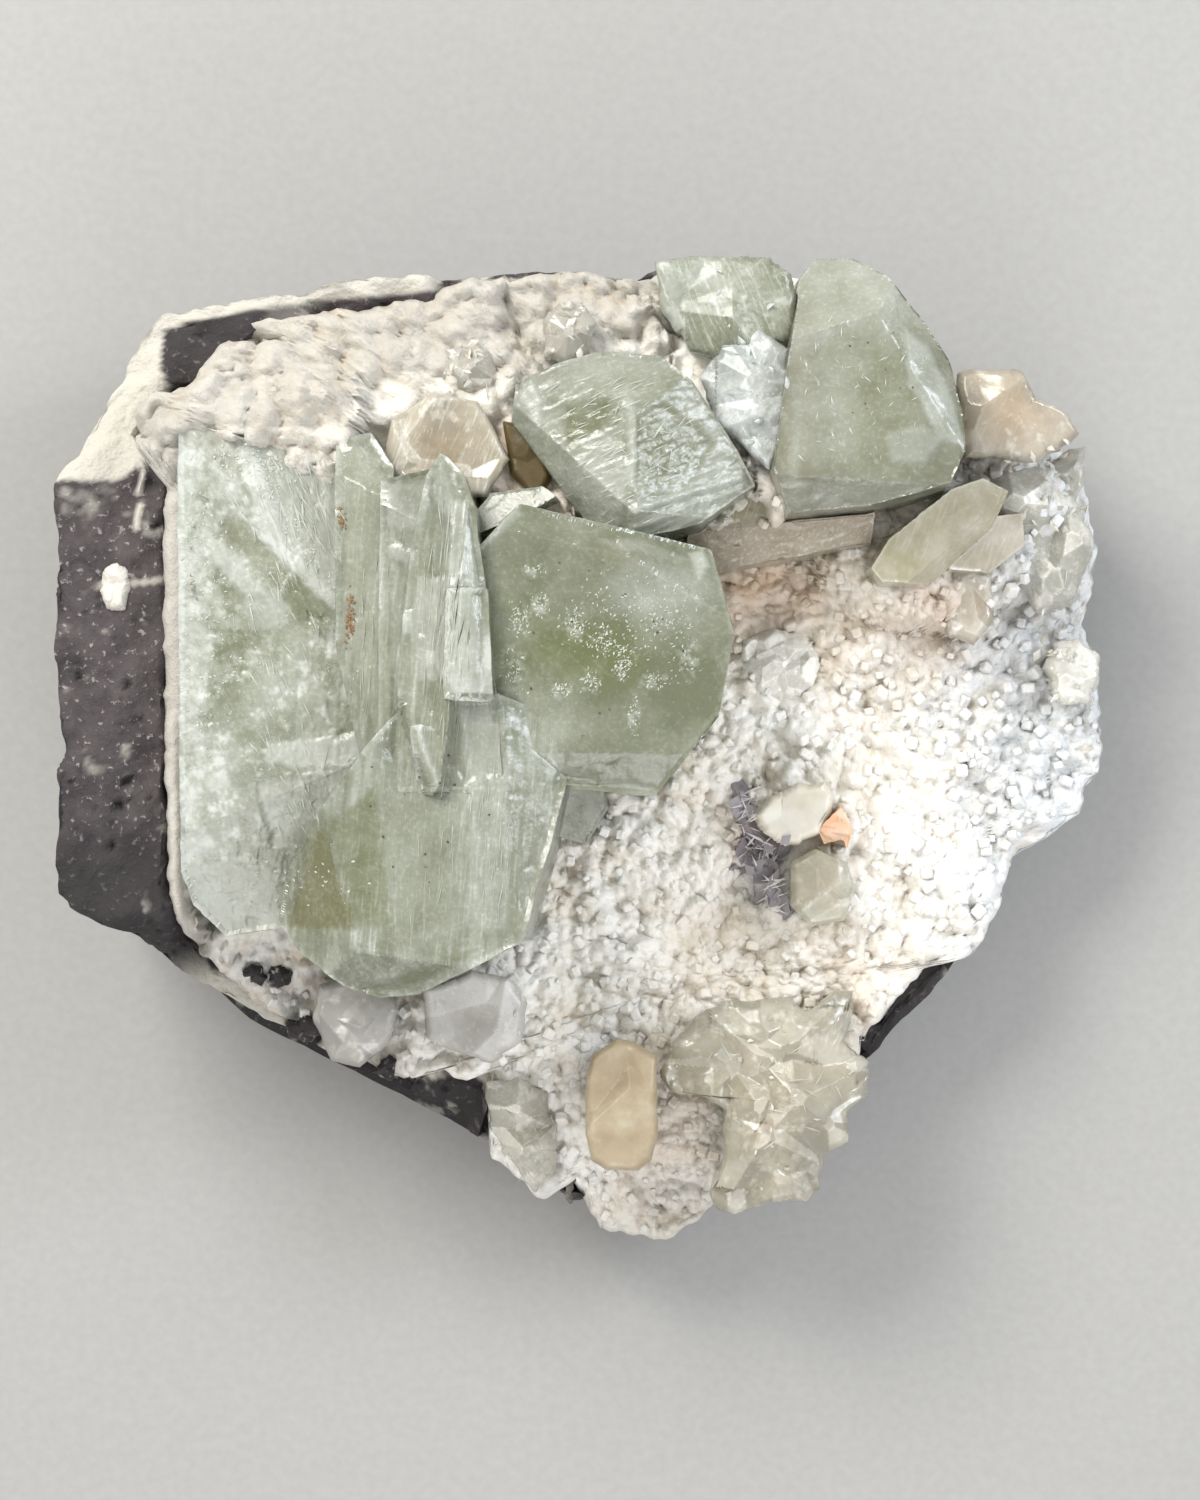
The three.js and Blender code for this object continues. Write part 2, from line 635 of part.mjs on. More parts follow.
        outline: [[-21, -29], [-17, -27.2], [-11.2, -26.8], [-9.4, -30.6], [-12, -36], [-17.6, -35.4]],
        roof: [{ height: 27, falls: -110, slope: 20 }, { height: 26.6, falls: 10, slope: 34, spot: [-12.6, -31] }],
      }),
    ],
  },
  // A fan of clear blades that grew through each other.
  blade_cluster: {
    look: "clear",
    crystals: [
      tetragonal({ at: [14.6, -33.6, 24.5], axis: [110, 52], turn: 45, half: [5.4, 3], ends: [7.6, 8], points: [15, 20] }),
      tetragonal({ at: [20.4, -31.4, 24], axis: [60, 58], turn: 20, half: [5, 3.2], ends: [8, 8], points: [15, 20] }),
      tetragonal({ at: [24.6, -35.4, 23], axis: [0, 44], turn: 62, half: [5.6, 2.8], ends: [7.4, 8], points: [14, 20] }),
      tetragonal({ at: [11.6, -36.4, 23], axis: [170, 46], turn: 30, half: [4.4, 2.6], ends: [6.4, 7], points: [12, 18] }),
      tetragonal({ at: [19, -38.6, 23.6], axis: [-60, 56], turn: 10, half: [5.2, 3.4], ends: [7.6, 8], points: [14, 20] }),
      tetragonal({ at: [23.4, -41.4, 21], axis: [-30, 40], turn: 50, half: [4.4, 2.6], ends: [6.2, 7], points: [12, 18] }),
    ],
  },
  clear_low_a: {
    look: "clear",
    crystals: [
      tetragonal({ at: [29.6, -38.2, 20.2], axis: [-20, 60], turn: 15, half: [2.4, 2.6], ends: [3.4, 4.4], points: [6.4, 10] }),
    ],
  },
  clear_low_b: {
    look: "clear",
    crystals: [
      tetragonal({ at: [20.2, -49, 19], axis: [-75, 58], turn: 35, half: [4, 3.6], ends: [4.4, 5], points: [9, 14] }),
    ],
  },
  clear_low_c: {
    look: "clear",
    crystals: [
      standing({
        outline: [[-13.6, -41], [-10.4, -39], [-5.4, -44], [-4, -50.6], [-7.6, -51.6], [-12.2, -46.6]],
        roof: [{ height: 22, falls: -130, slope: 22 }],
      }),
    ],
  },
  dark_blades: {
    look: "dark",
    crystals: [
      tetragonal({ at: [16.4, -7.4, 16], axis: [80, 50], turn: 20, half: [1.2, 3], ends: [4.6, 4], points: [20, 20] }),
      tetragonal({ at: [18.4, -11.6, 15.8], axis: [60, 56], turn: 50, half: [1.2, 3.2], ends: [4.6, 4], points: [20, 20] }),
      tetragonal({ at: [19.6, -16, 15.4], axis: [100, 50], turn: 0, half: [1.2, 3], ends: [4.4, 4], points: [20, 20] }),
      tetragonal({ at: [20.4, -19.4, 15.6], axis: [70, 48], turn: 30, half: [1.1, 2.4], ends: [4, 4], points: [20, 20] }),
    ],
  },
  cream_lozenge: {
    look: "stilbite",
    crystals: [
      standing({
        outline: [[17.2, -8.6], [22.6, -3.2], [27.2, -5.4], [24.4, -9.2], [21.6, -10.2]],
        roof: [{ height: 25, falls: -60, slope: 16 }],
      }),
    ],
  },
  orange_grain: {
    look: "orange",
    crystals: [
      standing({
        outline: [[25.2, -9.4], [27.8, -6.6], [29, -9.4], [28.4, -11.6], [26.2, -11.4]],
        roof: [{ height: 23.4, falls: -100, slope: 20 }],
      }),
    ],
  },
  // Oval bleb of white zeolite that fills a gas bubble in the left wall.
  white_amygdale: {
    look: "druse",
    crystals: [
      standing({
        outline: [[-56.4, 18], [-55.6, 20.8], [-53.4, 21.4], [-52.4, 18.4], [-53, 15], [-54.6, 14.2], [-56, 15.4]],
        foot: 33,
        roof: [{ height: WALL + 0.6, falls: 0, slope: 6 }],
      }),
    ],
  },
};

// ---------------------------------------------------------------- assembly

const specimen = new THREE.Group();

function addPiece(name, solid, look) {
  const mesh = new THREE.Mesh(toGeometry(solid), FINISH[look]());
  mesh.name = name;
  specimen.add(mesh);
}

// The first pieces keep their whole shape. Later ones stop short of them, and the druse and the
// rock have a socket for every root.
let rock = rockSolid();
let druse = druseSolid();
const placed = [];
for (const [name, { look, crystals }] of Object.entries(PIECES)) {
  let solid = joined(crystals.map((faces) => crystalSolid(faces)));
  for (const room of placed) solid = solid.subtract(room);
  solid = largestBody(solid);
  addPiece(name, solid, look);
  const room = joined(crystals.map((faces) => crystalSolid(faces, GAP)));
  placed.push(room);
  rock = rock.subtract(room);
  druse = druse.subtract(room);
}
addPiece("basalt_matrix", largestBody(rock), "basalt");
addPiece("zeolite_druse", largestBody(druse), "druse");

const box = new THREE.Box3().setFromObject(specimen);
const centre = box.getCenter(new THREE.Vector3());
specimen.position.set(-centre.x, -centre.y, -box.min.z);

export default specimen;
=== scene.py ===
# %% [markdown]
# # A cluster of green apophyllite on basalt
#
# This is a hand specimen from a gas cavity in dark basalt. A white crust of tiny zeolite crystals, the
# druse, lines the cavity. Large pale green apophyllites grew on it, with cream stilbite and small clear
# crystals. The CAD model gives every crystal's place, size and main faces. Here each one gets the fine
# surface that growth and breakage left, and a material that lets light in.
#
# All shapes are worked out in millimetres, in the plan frame of the cavity, and turned to metres only
# when a mesh is made.

import bpy
import numpy as np
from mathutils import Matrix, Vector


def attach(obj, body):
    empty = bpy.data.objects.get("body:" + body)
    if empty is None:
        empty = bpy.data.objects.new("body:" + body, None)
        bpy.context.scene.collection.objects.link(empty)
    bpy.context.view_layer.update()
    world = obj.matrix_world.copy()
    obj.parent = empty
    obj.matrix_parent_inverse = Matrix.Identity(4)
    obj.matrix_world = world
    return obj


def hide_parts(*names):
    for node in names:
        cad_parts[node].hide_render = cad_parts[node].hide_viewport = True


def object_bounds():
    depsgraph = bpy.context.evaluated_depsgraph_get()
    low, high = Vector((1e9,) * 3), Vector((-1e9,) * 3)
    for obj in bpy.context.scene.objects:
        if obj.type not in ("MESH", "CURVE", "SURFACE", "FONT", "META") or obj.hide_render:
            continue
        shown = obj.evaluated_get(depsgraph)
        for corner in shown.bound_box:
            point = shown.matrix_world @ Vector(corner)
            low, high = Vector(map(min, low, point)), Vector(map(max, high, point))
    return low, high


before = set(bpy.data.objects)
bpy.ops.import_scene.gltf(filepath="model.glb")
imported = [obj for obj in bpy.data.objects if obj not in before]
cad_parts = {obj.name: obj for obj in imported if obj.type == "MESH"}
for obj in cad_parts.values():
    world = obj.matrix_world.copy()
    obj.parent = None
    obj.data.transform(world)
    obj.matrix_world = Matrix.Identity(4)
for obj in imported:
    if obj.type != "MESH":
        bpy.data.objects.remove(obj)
cad_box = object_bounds()
MM = 0.001
PLAN_ORIGIN = np.array([0.641, 1.102, 0.0])  # where the plan's origin lies from the middle of the base, in mm
print(len(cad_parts), "CAD nodes, box in mm:", [round(v / MM, 1) for v in (*cad_box[0], *cad_box[1])])

# %% [markdown]
# ## Camera, light and floor
#
# The specimen lies on its flat base and is looked at from straight above, as it would lie in a drawer.
# Clear crystals only look clear when there is something bright to see through them, so the light is a
# pale sky all round, with three large soft panels for highlights on the faces.

# %% Camera, light and floor
PICTURE_HEIGHT = 172.5  # height of the picture in the focal plane, mm
FOCAL_PLANE = 25.0  # height of that plane above the floor, mm
DISTANCE = 400.0  # from the camera to that plane, mm
SENSOR = 36.0  # height of the camera's sensor, mm


def linear(code):
    """A colour from its sRGB hex code, as linear red, green, blue and alpha."""
    values = np.array([int(code[i : i + 2], 16) for i in (1, 3, 5)]) / 255
    low, high = values / 12.92, ((values + 0.055) / 1.055) ** 2.4
    return (*np.where(values <= 0.04045, low, high), 1.0)


def add_object(name, data):
    """A new object at the origin of the scene."""
    made = bpy.data.objects.new(name, data)
    bpy.context.scene.collection.objects.link(made)
    return made


camera = add_object("camera", bpy.data.cameras.new("camera"))
camera.data.sensor_fit = "VERTICAL"
camera.data.sensor_height = SENSOR
camera.data.lens = SENSOR * DISTANCE / PICTURE_HEIGHT
camera.data.clip_start = 0.01
camera.location = [v * MM for v in (PLAN_ORIGIN[0], PLAN_ORIGIN[1], FOCAL_PLANE + DISTANCE)]
bpy.context.scene.camera = camera


def add_panel(name, place, aim, size, power, colour):
    """A square light panel at a place, turned to face the point `aim`, sizes in mm."""
    panel = add_object(name, bpy.data.lights.new(name, "AREA"))
    panel.data.size = size * MM
    panel.data.energy = power
    panel.data.color = linear(colour)[:3]
    panel.location = [v * MM for v in place]
    direction = Vector([b - a for a, b in zip(place, aim)])
    panel.rotation_euler = direction.to_track_quat("-Z", "Y").to_euler()


add_panel("key_panel", (-260, 330, 420), (0, 0, 25), 260, 4.1, "#FFFDF8")
add_panel("rim_panel", (380, 140, 300), (0, 0, 25), 160, 1.3, "#EAF2FF")
add_panel("fill_panel", (30, -340, 300), (0, 0, 25), 240, 0.75, "#FAFAFF")

world = bpy.data.worlds.new("studio")
bpy.context.scene.world = world
world.use_nodes = True
world.node_tree.nodes["Background"].inputs["Color"].default_value = linear("#F4F4F0")
world.node_tree.nodes["Background"].inputs["Strength"].default_value = 0.92
bpy.context.scene.view_settings.view_transform = "Standard"
for kind, count in (("diffuse", 3), ("glossy", 3), ("transmission", 7), ("max", 8)):
    setattr(bpy.context.scene.cycles, kind + "_bounces", count)
print("camera lens", round(camera.data.lens, 1), "mm")

# %% [markdown]
# ## Helpers for materials
#
# Every material here is a Principled shader with a few patterns in front of it. One function adds a node
# and links it, and the patterns read Object coordinates, so they keep their real size in metres.

# %% Helpers for materials


def new_material(name):
    """An empty material, and its node tree."""
    made = bpy.data.materials.new(name)
    made.use_nodes = True
    made.node_tree.nodes.clear()
    return made, made.node_tree


def add_node(tree, kind, settings=(), links=()):
    """Adds one shader node. Settings are attributes, values of inputs by name or number, or the stops of a
    colour ramp: positions with hex colours or grey levels. Links are inputs and what feeds them: a socket, or
    a node for its first output."""
    node = tree.nodes.new("ShaderNode" + kind)
    for key, value in dict(settings).items():
        if key == "stops":
            ramp = node.color_ramp.elements
            while len(ramp) < len(value):
                ramp.new(0.5)
            for stop, (position, shade) in zip(ramp, value):
                stop.position = position
                stop.color = linear(shade) if isinstance(shade, str) else (shade, shade, shade, 1)
        elif isinstance(key, int) or key in node.inputs:
            node.inputs[key].default_value = linear(value) if isinstance(value, str) else value
        else:
            setattr(node, key, value)
    for key, source in dict(links).items():
        socket = source.outputs[0] if isinstance(source, bpy.types.Node) else source
        tree.links.new(socket, node.inputs[key])
    return node


# A mix node has sockets for every kind of value. These are the ones for colours: how much of the second
# colour shows, the first and the second colour, and what comes out.
SHARE, FIRST, SECOND, MIXED = 0, 6, 7, 2

# %% [markdown]
# ## Helpers for shapes
#
# Natural surfaces come from noise: random numbers on a grid, blended smoothly, at several sizes. Grains
# and broken facets come from scattered points, where each place belongs to its nearest point.

# %% Noise on whole arrays


def hashed(cells, seed):
    """A fixed random number from 0 to 1 for each row of whole numbers, by multiplying and mixing its bits."""
    x, y, z = (cells[:, i].astype(np.int64) for i in range(3))
    mixed = (x * 73856093) ^ (y * 19349663) ^ (z * 83492791) ^ (seed * 97531 + 12345)
    mixed = ((mixed ^ (mixed >> 13)) * 1274126177) & 0xFFFFFFFF
    mixed = ((mixed ^ (mixed >> 15)) * 668265263) & 0xFFFFFFFF
    return ((mixed >> 8) & 0xFFFF) / 65535.0


def noise(points, size, seed=0):
    """Smooth noise from -1 to 1: random numbers on a cubic grid, blended from eight corners by 3t²-2t³."""
    scaled = points / size
    corner = np.floor(scaled).astype(np.int64)
    t = scaled - corner
    t = t * t * (3 - 2 * t)
    total = np.zeros(len(points))
    for number in range(8):
        step = np.array([number & 1, number >> 1 & 1, number >> 2 & 1])
        weight = np.prod(np.where(step, t, 1 - t), axis=1)
        total += weight * hashed(corner + step, seed)
    return 2 * total - 1


def fractal(points, size, seed=0, octaves=4, fade=0.5):
    """Noise of halving size and fading strength, summed."""
    total, share = np.zeros(len(points)), 1.0
    for octave in range(octaves):
        total += share * noise(points, size / 2**octave, seed + 17 * octave)
        share *= fade
    return total * (1 - fade) / (1 - fade**octaves)


def scattered(points, size, seed=0, flat=False):
    """Distances to the nearest and second nearest of points scattered one to a cell, in cell widths,
    and a random number that belongs to the nearest."""
    scaled = points / size
    home = np.floor(scaled).astype(np.int64)
    nearest = np.full(len(points), 9.0)
    second = np.full(len(points), 9.0)
    number = np.zeros(len(points))
    for dx in (-1, 0, 1):
        for dy in (-1, 0, 1):
            for dz in (0,) if flat else (-1, 0, 1):
                cell = home + [dx, dy, dz]
                spot = cell + np.stack([hashed(cell, seed + i) for i in (1, 2, 3)], axis=1)
                if flat:
                    spot[:, 2] = scaled[:, 2]
                away = np.linalg.norm(scaled - spot, axis=1)
                closer = away < nearest
                second = np.where(closer, nearest, np.minimum(second, away))
                number = np.where(closer, hashed(cell, seed + 4), number)
                nearest = np.where(closer, away, nearest)
    return nearest, second, number


def ease(value, low, high):
    """0 below low, 1 above high, and a smooth 3t²-2t³ between."""
    t = np.clip((value - low) / (high - low), 0, 1)
    return t * t * (3 - 2 * t)


def fall(value, low, high):
    """1 below low and 0 above high."""
    return 1 - ease(value, low, high)


def in_plan(x, y):
    """Places on the plan as rows of x, y and 0."""
    return np.stack([x, y, 0 * x], -1)


def bearing(x, y):
    """Direction of a place from the plan's middle, from 0 to 360 degrees."""
    return np.degrees(np.arctan2(y, x)) % 360


def directions(degrees):
    """Unit steps on the plan in those directions, as rows of cosine, sine and 0."""
    return in_plan(np.cos(np.radians(degrees)), np.sin(np.radians(degrees)))


def neighbour_cells(x, y, width, seed, stray):
    """For each of the nine cells round every place: the cell, and the spot in it that strays so far from its
    middle, as a share of the cell's width."""
    home = np.floor(in_plan(x, y) / width).astype(np.int64)
    for dx in (-1, 0, 1):
        for dy in (-1, 0, 1):
            cell = home + [dx, dy, 0]
            shift = np.stack([hashed(cell, seed + i) - 0.5 for i in (1, 2)], -1)
            yield cell, (cell[:, :2] + 0.5 + stray * shift) * width


# %% Meshes from arrays
LOW_CORNER, HIGH_CORNER = (np.array(corner) / MM + inward for corner, inward in zip(cad_box, (0.01, -0.01)))


def add_piece(name, points, faces, material, slot, replaces=(), crease=None, **attributes):
    """A mesh from corners in plan millimetres and its faces, which rides on the stone.
    With a crease angle in degrees it is shaded smooth except at edges sharper than that."""
    mesh = bpy.data.meshes.new(name)
    mesh.from_pydata(np.clip(points + PLAN_ORIGIN, LOW_CORNER, HIGH_CORNER) * MM, [], faces)
    for key, values in attributes.items():
        mesh.attributes.new(key, "FLOAT", "POINT").data.foreach_set("value", values.astype(np.float32))
    if crease is not None:
        mesh.shade_smooth()
        mesh.set_sharp_from_angle(angle=np.radians(crease))
    mesh.materials.append(material)
    piece = add_object(name, mesh)
    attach(piece, "root")
    if replaces:
        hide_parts(*replaces)
    mesh.calc_loop_triangles()
    print(f"{name}: {len(mesh.loop_triangles)} triangles")


def grid_faces(rings, spokes, pole_start, pole_end):
    """Triangles of a closed skin of rings of points, with a pole at each end. The rings start at point 1."""
    ring, spoke = np.meshgrid(np.arange(rings - 1), np.arange(spokes), indexing="ij")
    a = 1 + ring * spokes + spoke
    d = 1 + ring * spokes + (spoke + 1) % spokes
    b, c = a + spokes, d + spokes
    wall = np.concatenate([np.stack([a, b, c], -1).reshape(-1, 3), np.stack([a, c, d], -1).reshape(-1, 3)])
    first = 1 + np.arange(spokes)
    last = 1 + (rings - 1) * spokes + np.arange(spokes)
    start = np.stack([np.full(spokes, pole_start), first, np.roll(first, -1)], -1)
    end = np.stack([np.full(spokes, pole_end), np.roll(last, -1), last], -1)
    return np.concatenate([start, wall, end])


# %% [markdown]
# ## Fine surfaces on CAD solids
#
# The CAD crystals are exact but have huge flat triangles. To carve growth lines into them, a copy is
# merged, and its long edges are halved again and again until they are short. Then each corner moves a
# little along its own normal. Neighbours share corners, so the crystal stays closed.

# %% Copies of CAD solids
EQUAL = 0.999  # an edge counts as the longest of its triangle from this share of it


def cad_copy(node):
    """Corners in plan mm and triangles of a CAD node, with equal corners merged and thin slivers dropped."""
    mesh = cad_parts[node].data
    corners = np.empty(3 * len(mesh.vertices))
    mesh.vertices.foreach_get("co", corners)
    mesh.calc_loop_triangles()
    triangles = np.empty(3 * len(mesh.loop_triangles), dtype=np.int32)
    mesh.loop_triangles.foreach_get("vertices", triangles)
    points, index = np.unique(np.round(corners.reshape(-1, 3) / MM, 3), axis=0, return_inverse=True)
    triangles = index.ravel()[triangles].reshape(-1, 3)
    a, b, c = triangles.T
    return points - PLAN_ORIGIN, triangles[(a != b) & (b != c) & (c != a)]


def crossed(points, triangles):
    """The cross product of two sides of each triangle: its normal, twice its area long."""
    a, b, c = (points[triangles[:, i]] for i in range(3))
    return np.cross(b - a, c - a)


def at_corners(values, triangles, count):
    """For each corner of the mesh, the sum of the values of the triangles that meet there."""
    return sum(np.bincount(triangles[:, i], values, count) for i in range(3))


def refined(points, triangles, coarse, fine):
    """Halves the longest edge of every triangle that has one over the limit, until none is left: `fine` where
    the surface faces up and `coarse` elsewhere, in mm. An edge is halved for both of its triangles at once,
    so a triangle is cut in 2, 3 or 4."""
    while True:
        cross = crossed(points, triangles)
        longest = np.where(cross[:, 2] > 0.3 * np.linalg.norm(cross, axis=1), fine, coarse)
        ends = np.stack([triangles, np.roll(triangles, -1, axis=1)], -1)
        low, high = ends.min(-1), ends.max(-1)
        keys, index = np.unique(low.astype(np.int64) * len(points) + high, return_inverse=True)
        index = index.reshape(-1, 3)
        low, high = keys // len(points), keys % len(points)
        length = np.linalg.norm(points[low] - points[high], axis=1)
        widest = length[index].max(axis=1)
        wanted = index[(length[index] >= widest[:, None] * EQUAL) & (widest > longest)[:, None]]
        if not len(wanted):
            return points, triangles
        middle = np.full(len(keys), -1)
        halved = np.unique(wanted)
        middle[halved] = len(points) + np.arange(len(halved))
        points = np.concatenate([points, (points[low[halved]] + points[high[halved]]) / 2])
        mids = middle[index]
        count = (mids >= 0).sum(axis=1)
        turn = np.where(count == 1, (mids >= 0).argmax(axis=1), (mids < 0).argmax(axis=1) + 1) % 3
        turn = np.where((count == 0) | (count == 3), 0, turn)
        order = (turn[:, None] + np.arange(3)) % 3
        a, b, c = np.take_along_axis(triangles, order, 1).T
        ab, bc, ca = np.take_along_axis(mids, order, 1).T
        parts = [triangles[count == 0]]
        one, two, three = count == 1, count == 2, count == 3
        parts += [np.stack(t, -1)[one] for t in ((a, ab, c), (ab, b, c))]
        parts += [np.stack(t, -1)[two] for t in ((ab, b, bc), (a, ab, bc), (a, bc, c))]
        parts += [np.stack(t, -1)[three] for t in ((a, ab, ca), (ab, b, bc), (ca, bc, c), (ab, bc, ca))]
        triangles = np.concatenate(parts)


def normals_of(points, triangles):
    """The direction out of the surface at each corner: the mean of its triangles' normals, by area."""
    total = np.stack([at_corners(v, triangles, len(points)) for v in crossed(points, triangles).T], -1)
    return total / np.maximum(np.linalg.norm(total, axis=1, keepdims=True), 1e-9)


def lines_along(points, axis, width, seed, stretch=14):
    """Fine ridges along an axis: noise whose cells are stretched along it."""
    axis = np.array(axis) / np.linalg.norm(axis)
    along = points @ axis
    return fractal(points - (1 - 1 / stretch) * along[:, None] * axis, width, seed, octaves=3)


def stepped(height, step, sharp=5):
    """A smooth height cut into flat terraces of that step, with short slopes between them."""
    level = height / step
    base = np.floor(level)
    return step * (base + ease((level - base - 0.5) * sharp + 0.5, 0, 1))


def inside(x, y, outline):
    """How far each place lies inside a convex outline, in mm: the least distance to its edges, and negative
    outside it."""
    a = np.array(outline, dtype=float)
    b = np.roll(a, -1, axis=0)
    along = b - a
    way_round = np.sign(np.sum(a[:, 0] * b[:, 1] - a[:, 1] * b[:, 0]))
    length = np.linalg.norm(along, axis=1, keepdims=True)
    inward = way_round * np.stack([-along[:, 1], along[:, 0]], -1) / length
    return np.min([(x - p[0]) * n[0] + (y - p[1]) * n[1] for p, n in zip(a, inward)], axis=0)


# %% [markdown]
# ## The lie of the cavity
#
# The druse follows the same gentle formulas as the CAD model: a floor that falls away to the right and
# below, a foot and a steep wall on the left, an upper wall and a raised corner. Its outline is read off
# the CAD solids, as the farthest corner in each direction from the plan's middle.

# %% Heights and outlines
FLOOR = 20.0  # height of the druse floor above the base, mm
WALL = 39.0  # height of the broken left and upper walls, mm
CRUST = 3.4  # thickness of the druse, mm
SPOKE = 3.75  # smallest angle between the CAD model's spokes, degrees
INNER_CORNER = 5.0  # how far inside its neighbours a corner of the rim may lie, mm


def upper_wall(x, y):
    """How far the upper wall has risen: a gentle slope and a steep one."""
    return (0.4 * ease(y, 20, 40) + 0.6 * ease(y, 38, 53)) * fall(x, -12, 28)


def wall_at(x, y):
    """How far the cavity wall has risen: 0 on the floor, 1 on top."""
    left = 0.42 * fall(x, -44, -12) * ease(y, -34, -16) + 0.58 * fall(x, -47.5, -42.5) * ease(y, -36, -21)
    corner = fall(x, -32, -22) * ease(y, 32, 39)
    return np.maximum(np.maximum(left, upper_wall(x, y)), corner)


def swell(x, y):
    """Low swells: two crossed sine waves."""
    return 0.5 * np.sin(0.31 * x + 1.1) * np.cos(0.27 * y - 0.6) + 0.4 * np.sin(0.63 * x - 0.47 * y)


def brow(x, y):
    """The crust that grew onto the upper and left edges of the cleaved crystal: its level and its share.
    It follows that crystal's sloping top, thickens towards the upper wall, and only edges it on the left."""
    stray = fractal(in_plan(x, y), 4.0, 77, fade=0.7)
    beside = 36.4 + 0.124 * (np.clip(y, -20, 36.4) + 19)
    upper = ease(y, 27.5, 28.5) * fall(y, 38, 46) * ease(x, -51, -46) * fall(x + stray, -27.5, -25.5)
    left = fall(x + 0.3 * stray, -45.6, -45.0) * ease(y, -14, -8) * fall(y, 33, 37) * ease(x, -50.5, -49)
    upper_level = beside - 1.8 + 3.4 * ease(y + 3.0 * stray + 0.12 * (x + 36), 29.5, 36.0)
    return upper_level * upper + (beside - 0.6) * left * (1 - upper), upper + left * (1 - upper)


# druse heaped up between the large crystals: x, y, reach along x and y, height above the base, in mm
BENCHES = [
    (-27.5, 16, 4, 24, 40.4), (-18, 38, 13, 9, 37), (-28, 44, 22, 10, 38.8), (-6, 46, 16, 7, 37.5),
    (12.5, 38, 5, 15, 37), (20, 38, 4, 15, 37.5), (14, 27, 14, 4.5, 31), (38, 23, 13, 9, 26.8),
    (46, 29, 9, 8, 25.5), (-36, 10, 9, 24, 35.5), (29, 40, 8.5, 12, 37), (22.5, -6.5, 6, 4, 22.4),
    (3, 35, 10, 8, 38), (-8, 28, 6, 7, 39.5), (-19, 2, 7, 24, 38), (-24, -12, 9, 9, 34),
]


def druse_height(x, y):
    """The floor and walls, with the benches between the large crystals and the crust that grew over one."""
    height = bare_druse_height(x, y)
    level, share = brow(x, y)
    for cx, cy, rx, ry, top in BENCHES:
        near = fall(np.hypot((x - cx) / rx, (y - cy) / ry), 0.75, 1.1)
        height = np.where(top > height, height + (top - height) * near, height)
    return np.maximum(height, height * (1 - share) + level)


def bare_druse_height(x, y):
    """Floor plus wall and swells, less the fall towards the rims and the small hollow."""
    wall = wall_at(x, y)
    sunk = 4 * ease(x, 36, 60) + 4 * fall(y, -56, -40)
    sunk += 4 * np.exp(-(((x - 18.5) / 3) ** 2) - ((y + 13) / 7) ** 2)
    return FLOOR + (WALL - FLOOR) * wall + (1 - 0.6 * wall) * swell(x, y) - sunk * (1 - wall)


def bare_height(x, y):
    """Height of the broken basalt outside the druse."""
    left = fall(x, -49, -41) * ease(y, -32, -18)
    wall = np.maximum(np.maximum(left, upper_wall(x, y)), fall(x, -34, -24) * ease(y, 34, 41))
    return FLOOR - 2.6 + (WALL - FLOOR + 1.6) * wall + 0.5 * swell(1.7 * x, 1.7 * y)


def outline_of(node, lowest, highest):
    """Reach of a node in any direction: its farthest corner on each CAD spoke, and straight lines between.
    A corner far inside its neighbours isn't on the rim, and is left out."""
    points, _ = cad_copy(node)
    x, y, z = points.T
    angle = bearing(x, y)
    number = np.round(angle / SPOKE).astype(int)
    far = np.hypot(x, y)
    kept = (np.abs(angle - SPOKE * number) < 0.05) & (z > lowest) & (z < highest) & (far > 30)
    reach = np.zeros(number.max() + 1)
    np.maximum.at(reach, number[kept], far[kept])
    found = np.flatnonzero(reach)
    beside = (reach[np.roll(found, 1)] + reach[np.roll(found, -1)]) / 2
    found = found[reach[found] > beside - INNER_CORNER]
    return lambda degrees: np.interp(degrees % 360, SPOKE * found, reach[found], period=360)


# direction in degrees and reach in mm of the druse, where it thins out over the upper left rock
UPPER_LEFT_RIM = [
    (101, 55.2), (107, 55), (113.8, 55.1), (120, 57.5), (124, 59.2), (129.4, 62.4), (133, 62.2),
    (135.5, 61.8), (138.7, 61.4), (140.2, 62.6), (141.8, 65), (146, 64.5), (148.8, 57), (151, 55.9),
    (154, 54.4), (158, 52.8),
]


def druse_rim(degrees):
    """Reach of the druse in any direction. It draws back where the rock shows, at the lower right and
    left."""
    degrees = degrees % 360
    at, reach = np.array(UPPER_LEFT_RIM).T
    drawn = (degrees >= at[0]) & (degrees <= at[-1])
    bare = 3.6 * ease(degrees, 308, 314) * fall(degrees, 326, 332)
    bare = bare + 3.8 * ease(degrees, 239, 243) * fall(degrees, 250, 254)
    elsewhere = solid_druse_rim(degrees) - bare - tucked(degrees)
    return np.where(drawn, np.interp(degrees, at, reach), elsewhere)


def tucked(degrees):
    """How far the rim draws back under the large crystal at the upper right, in mm."""
    return 5.0 * ease(degrees % 360, 41, 44) * fall(degrees % 360, 51, 55)


solid_druse_rim = outline_of("zeolite_druse", 5, 60)
rock_rim = outline_of("basalt_matrix", 12, 60)
rock_foot = outline_of("basalt_matrix", -1, 0.01)
print("druse reaches", druse_rim(np.arange(0, 360, 45)).round(1))
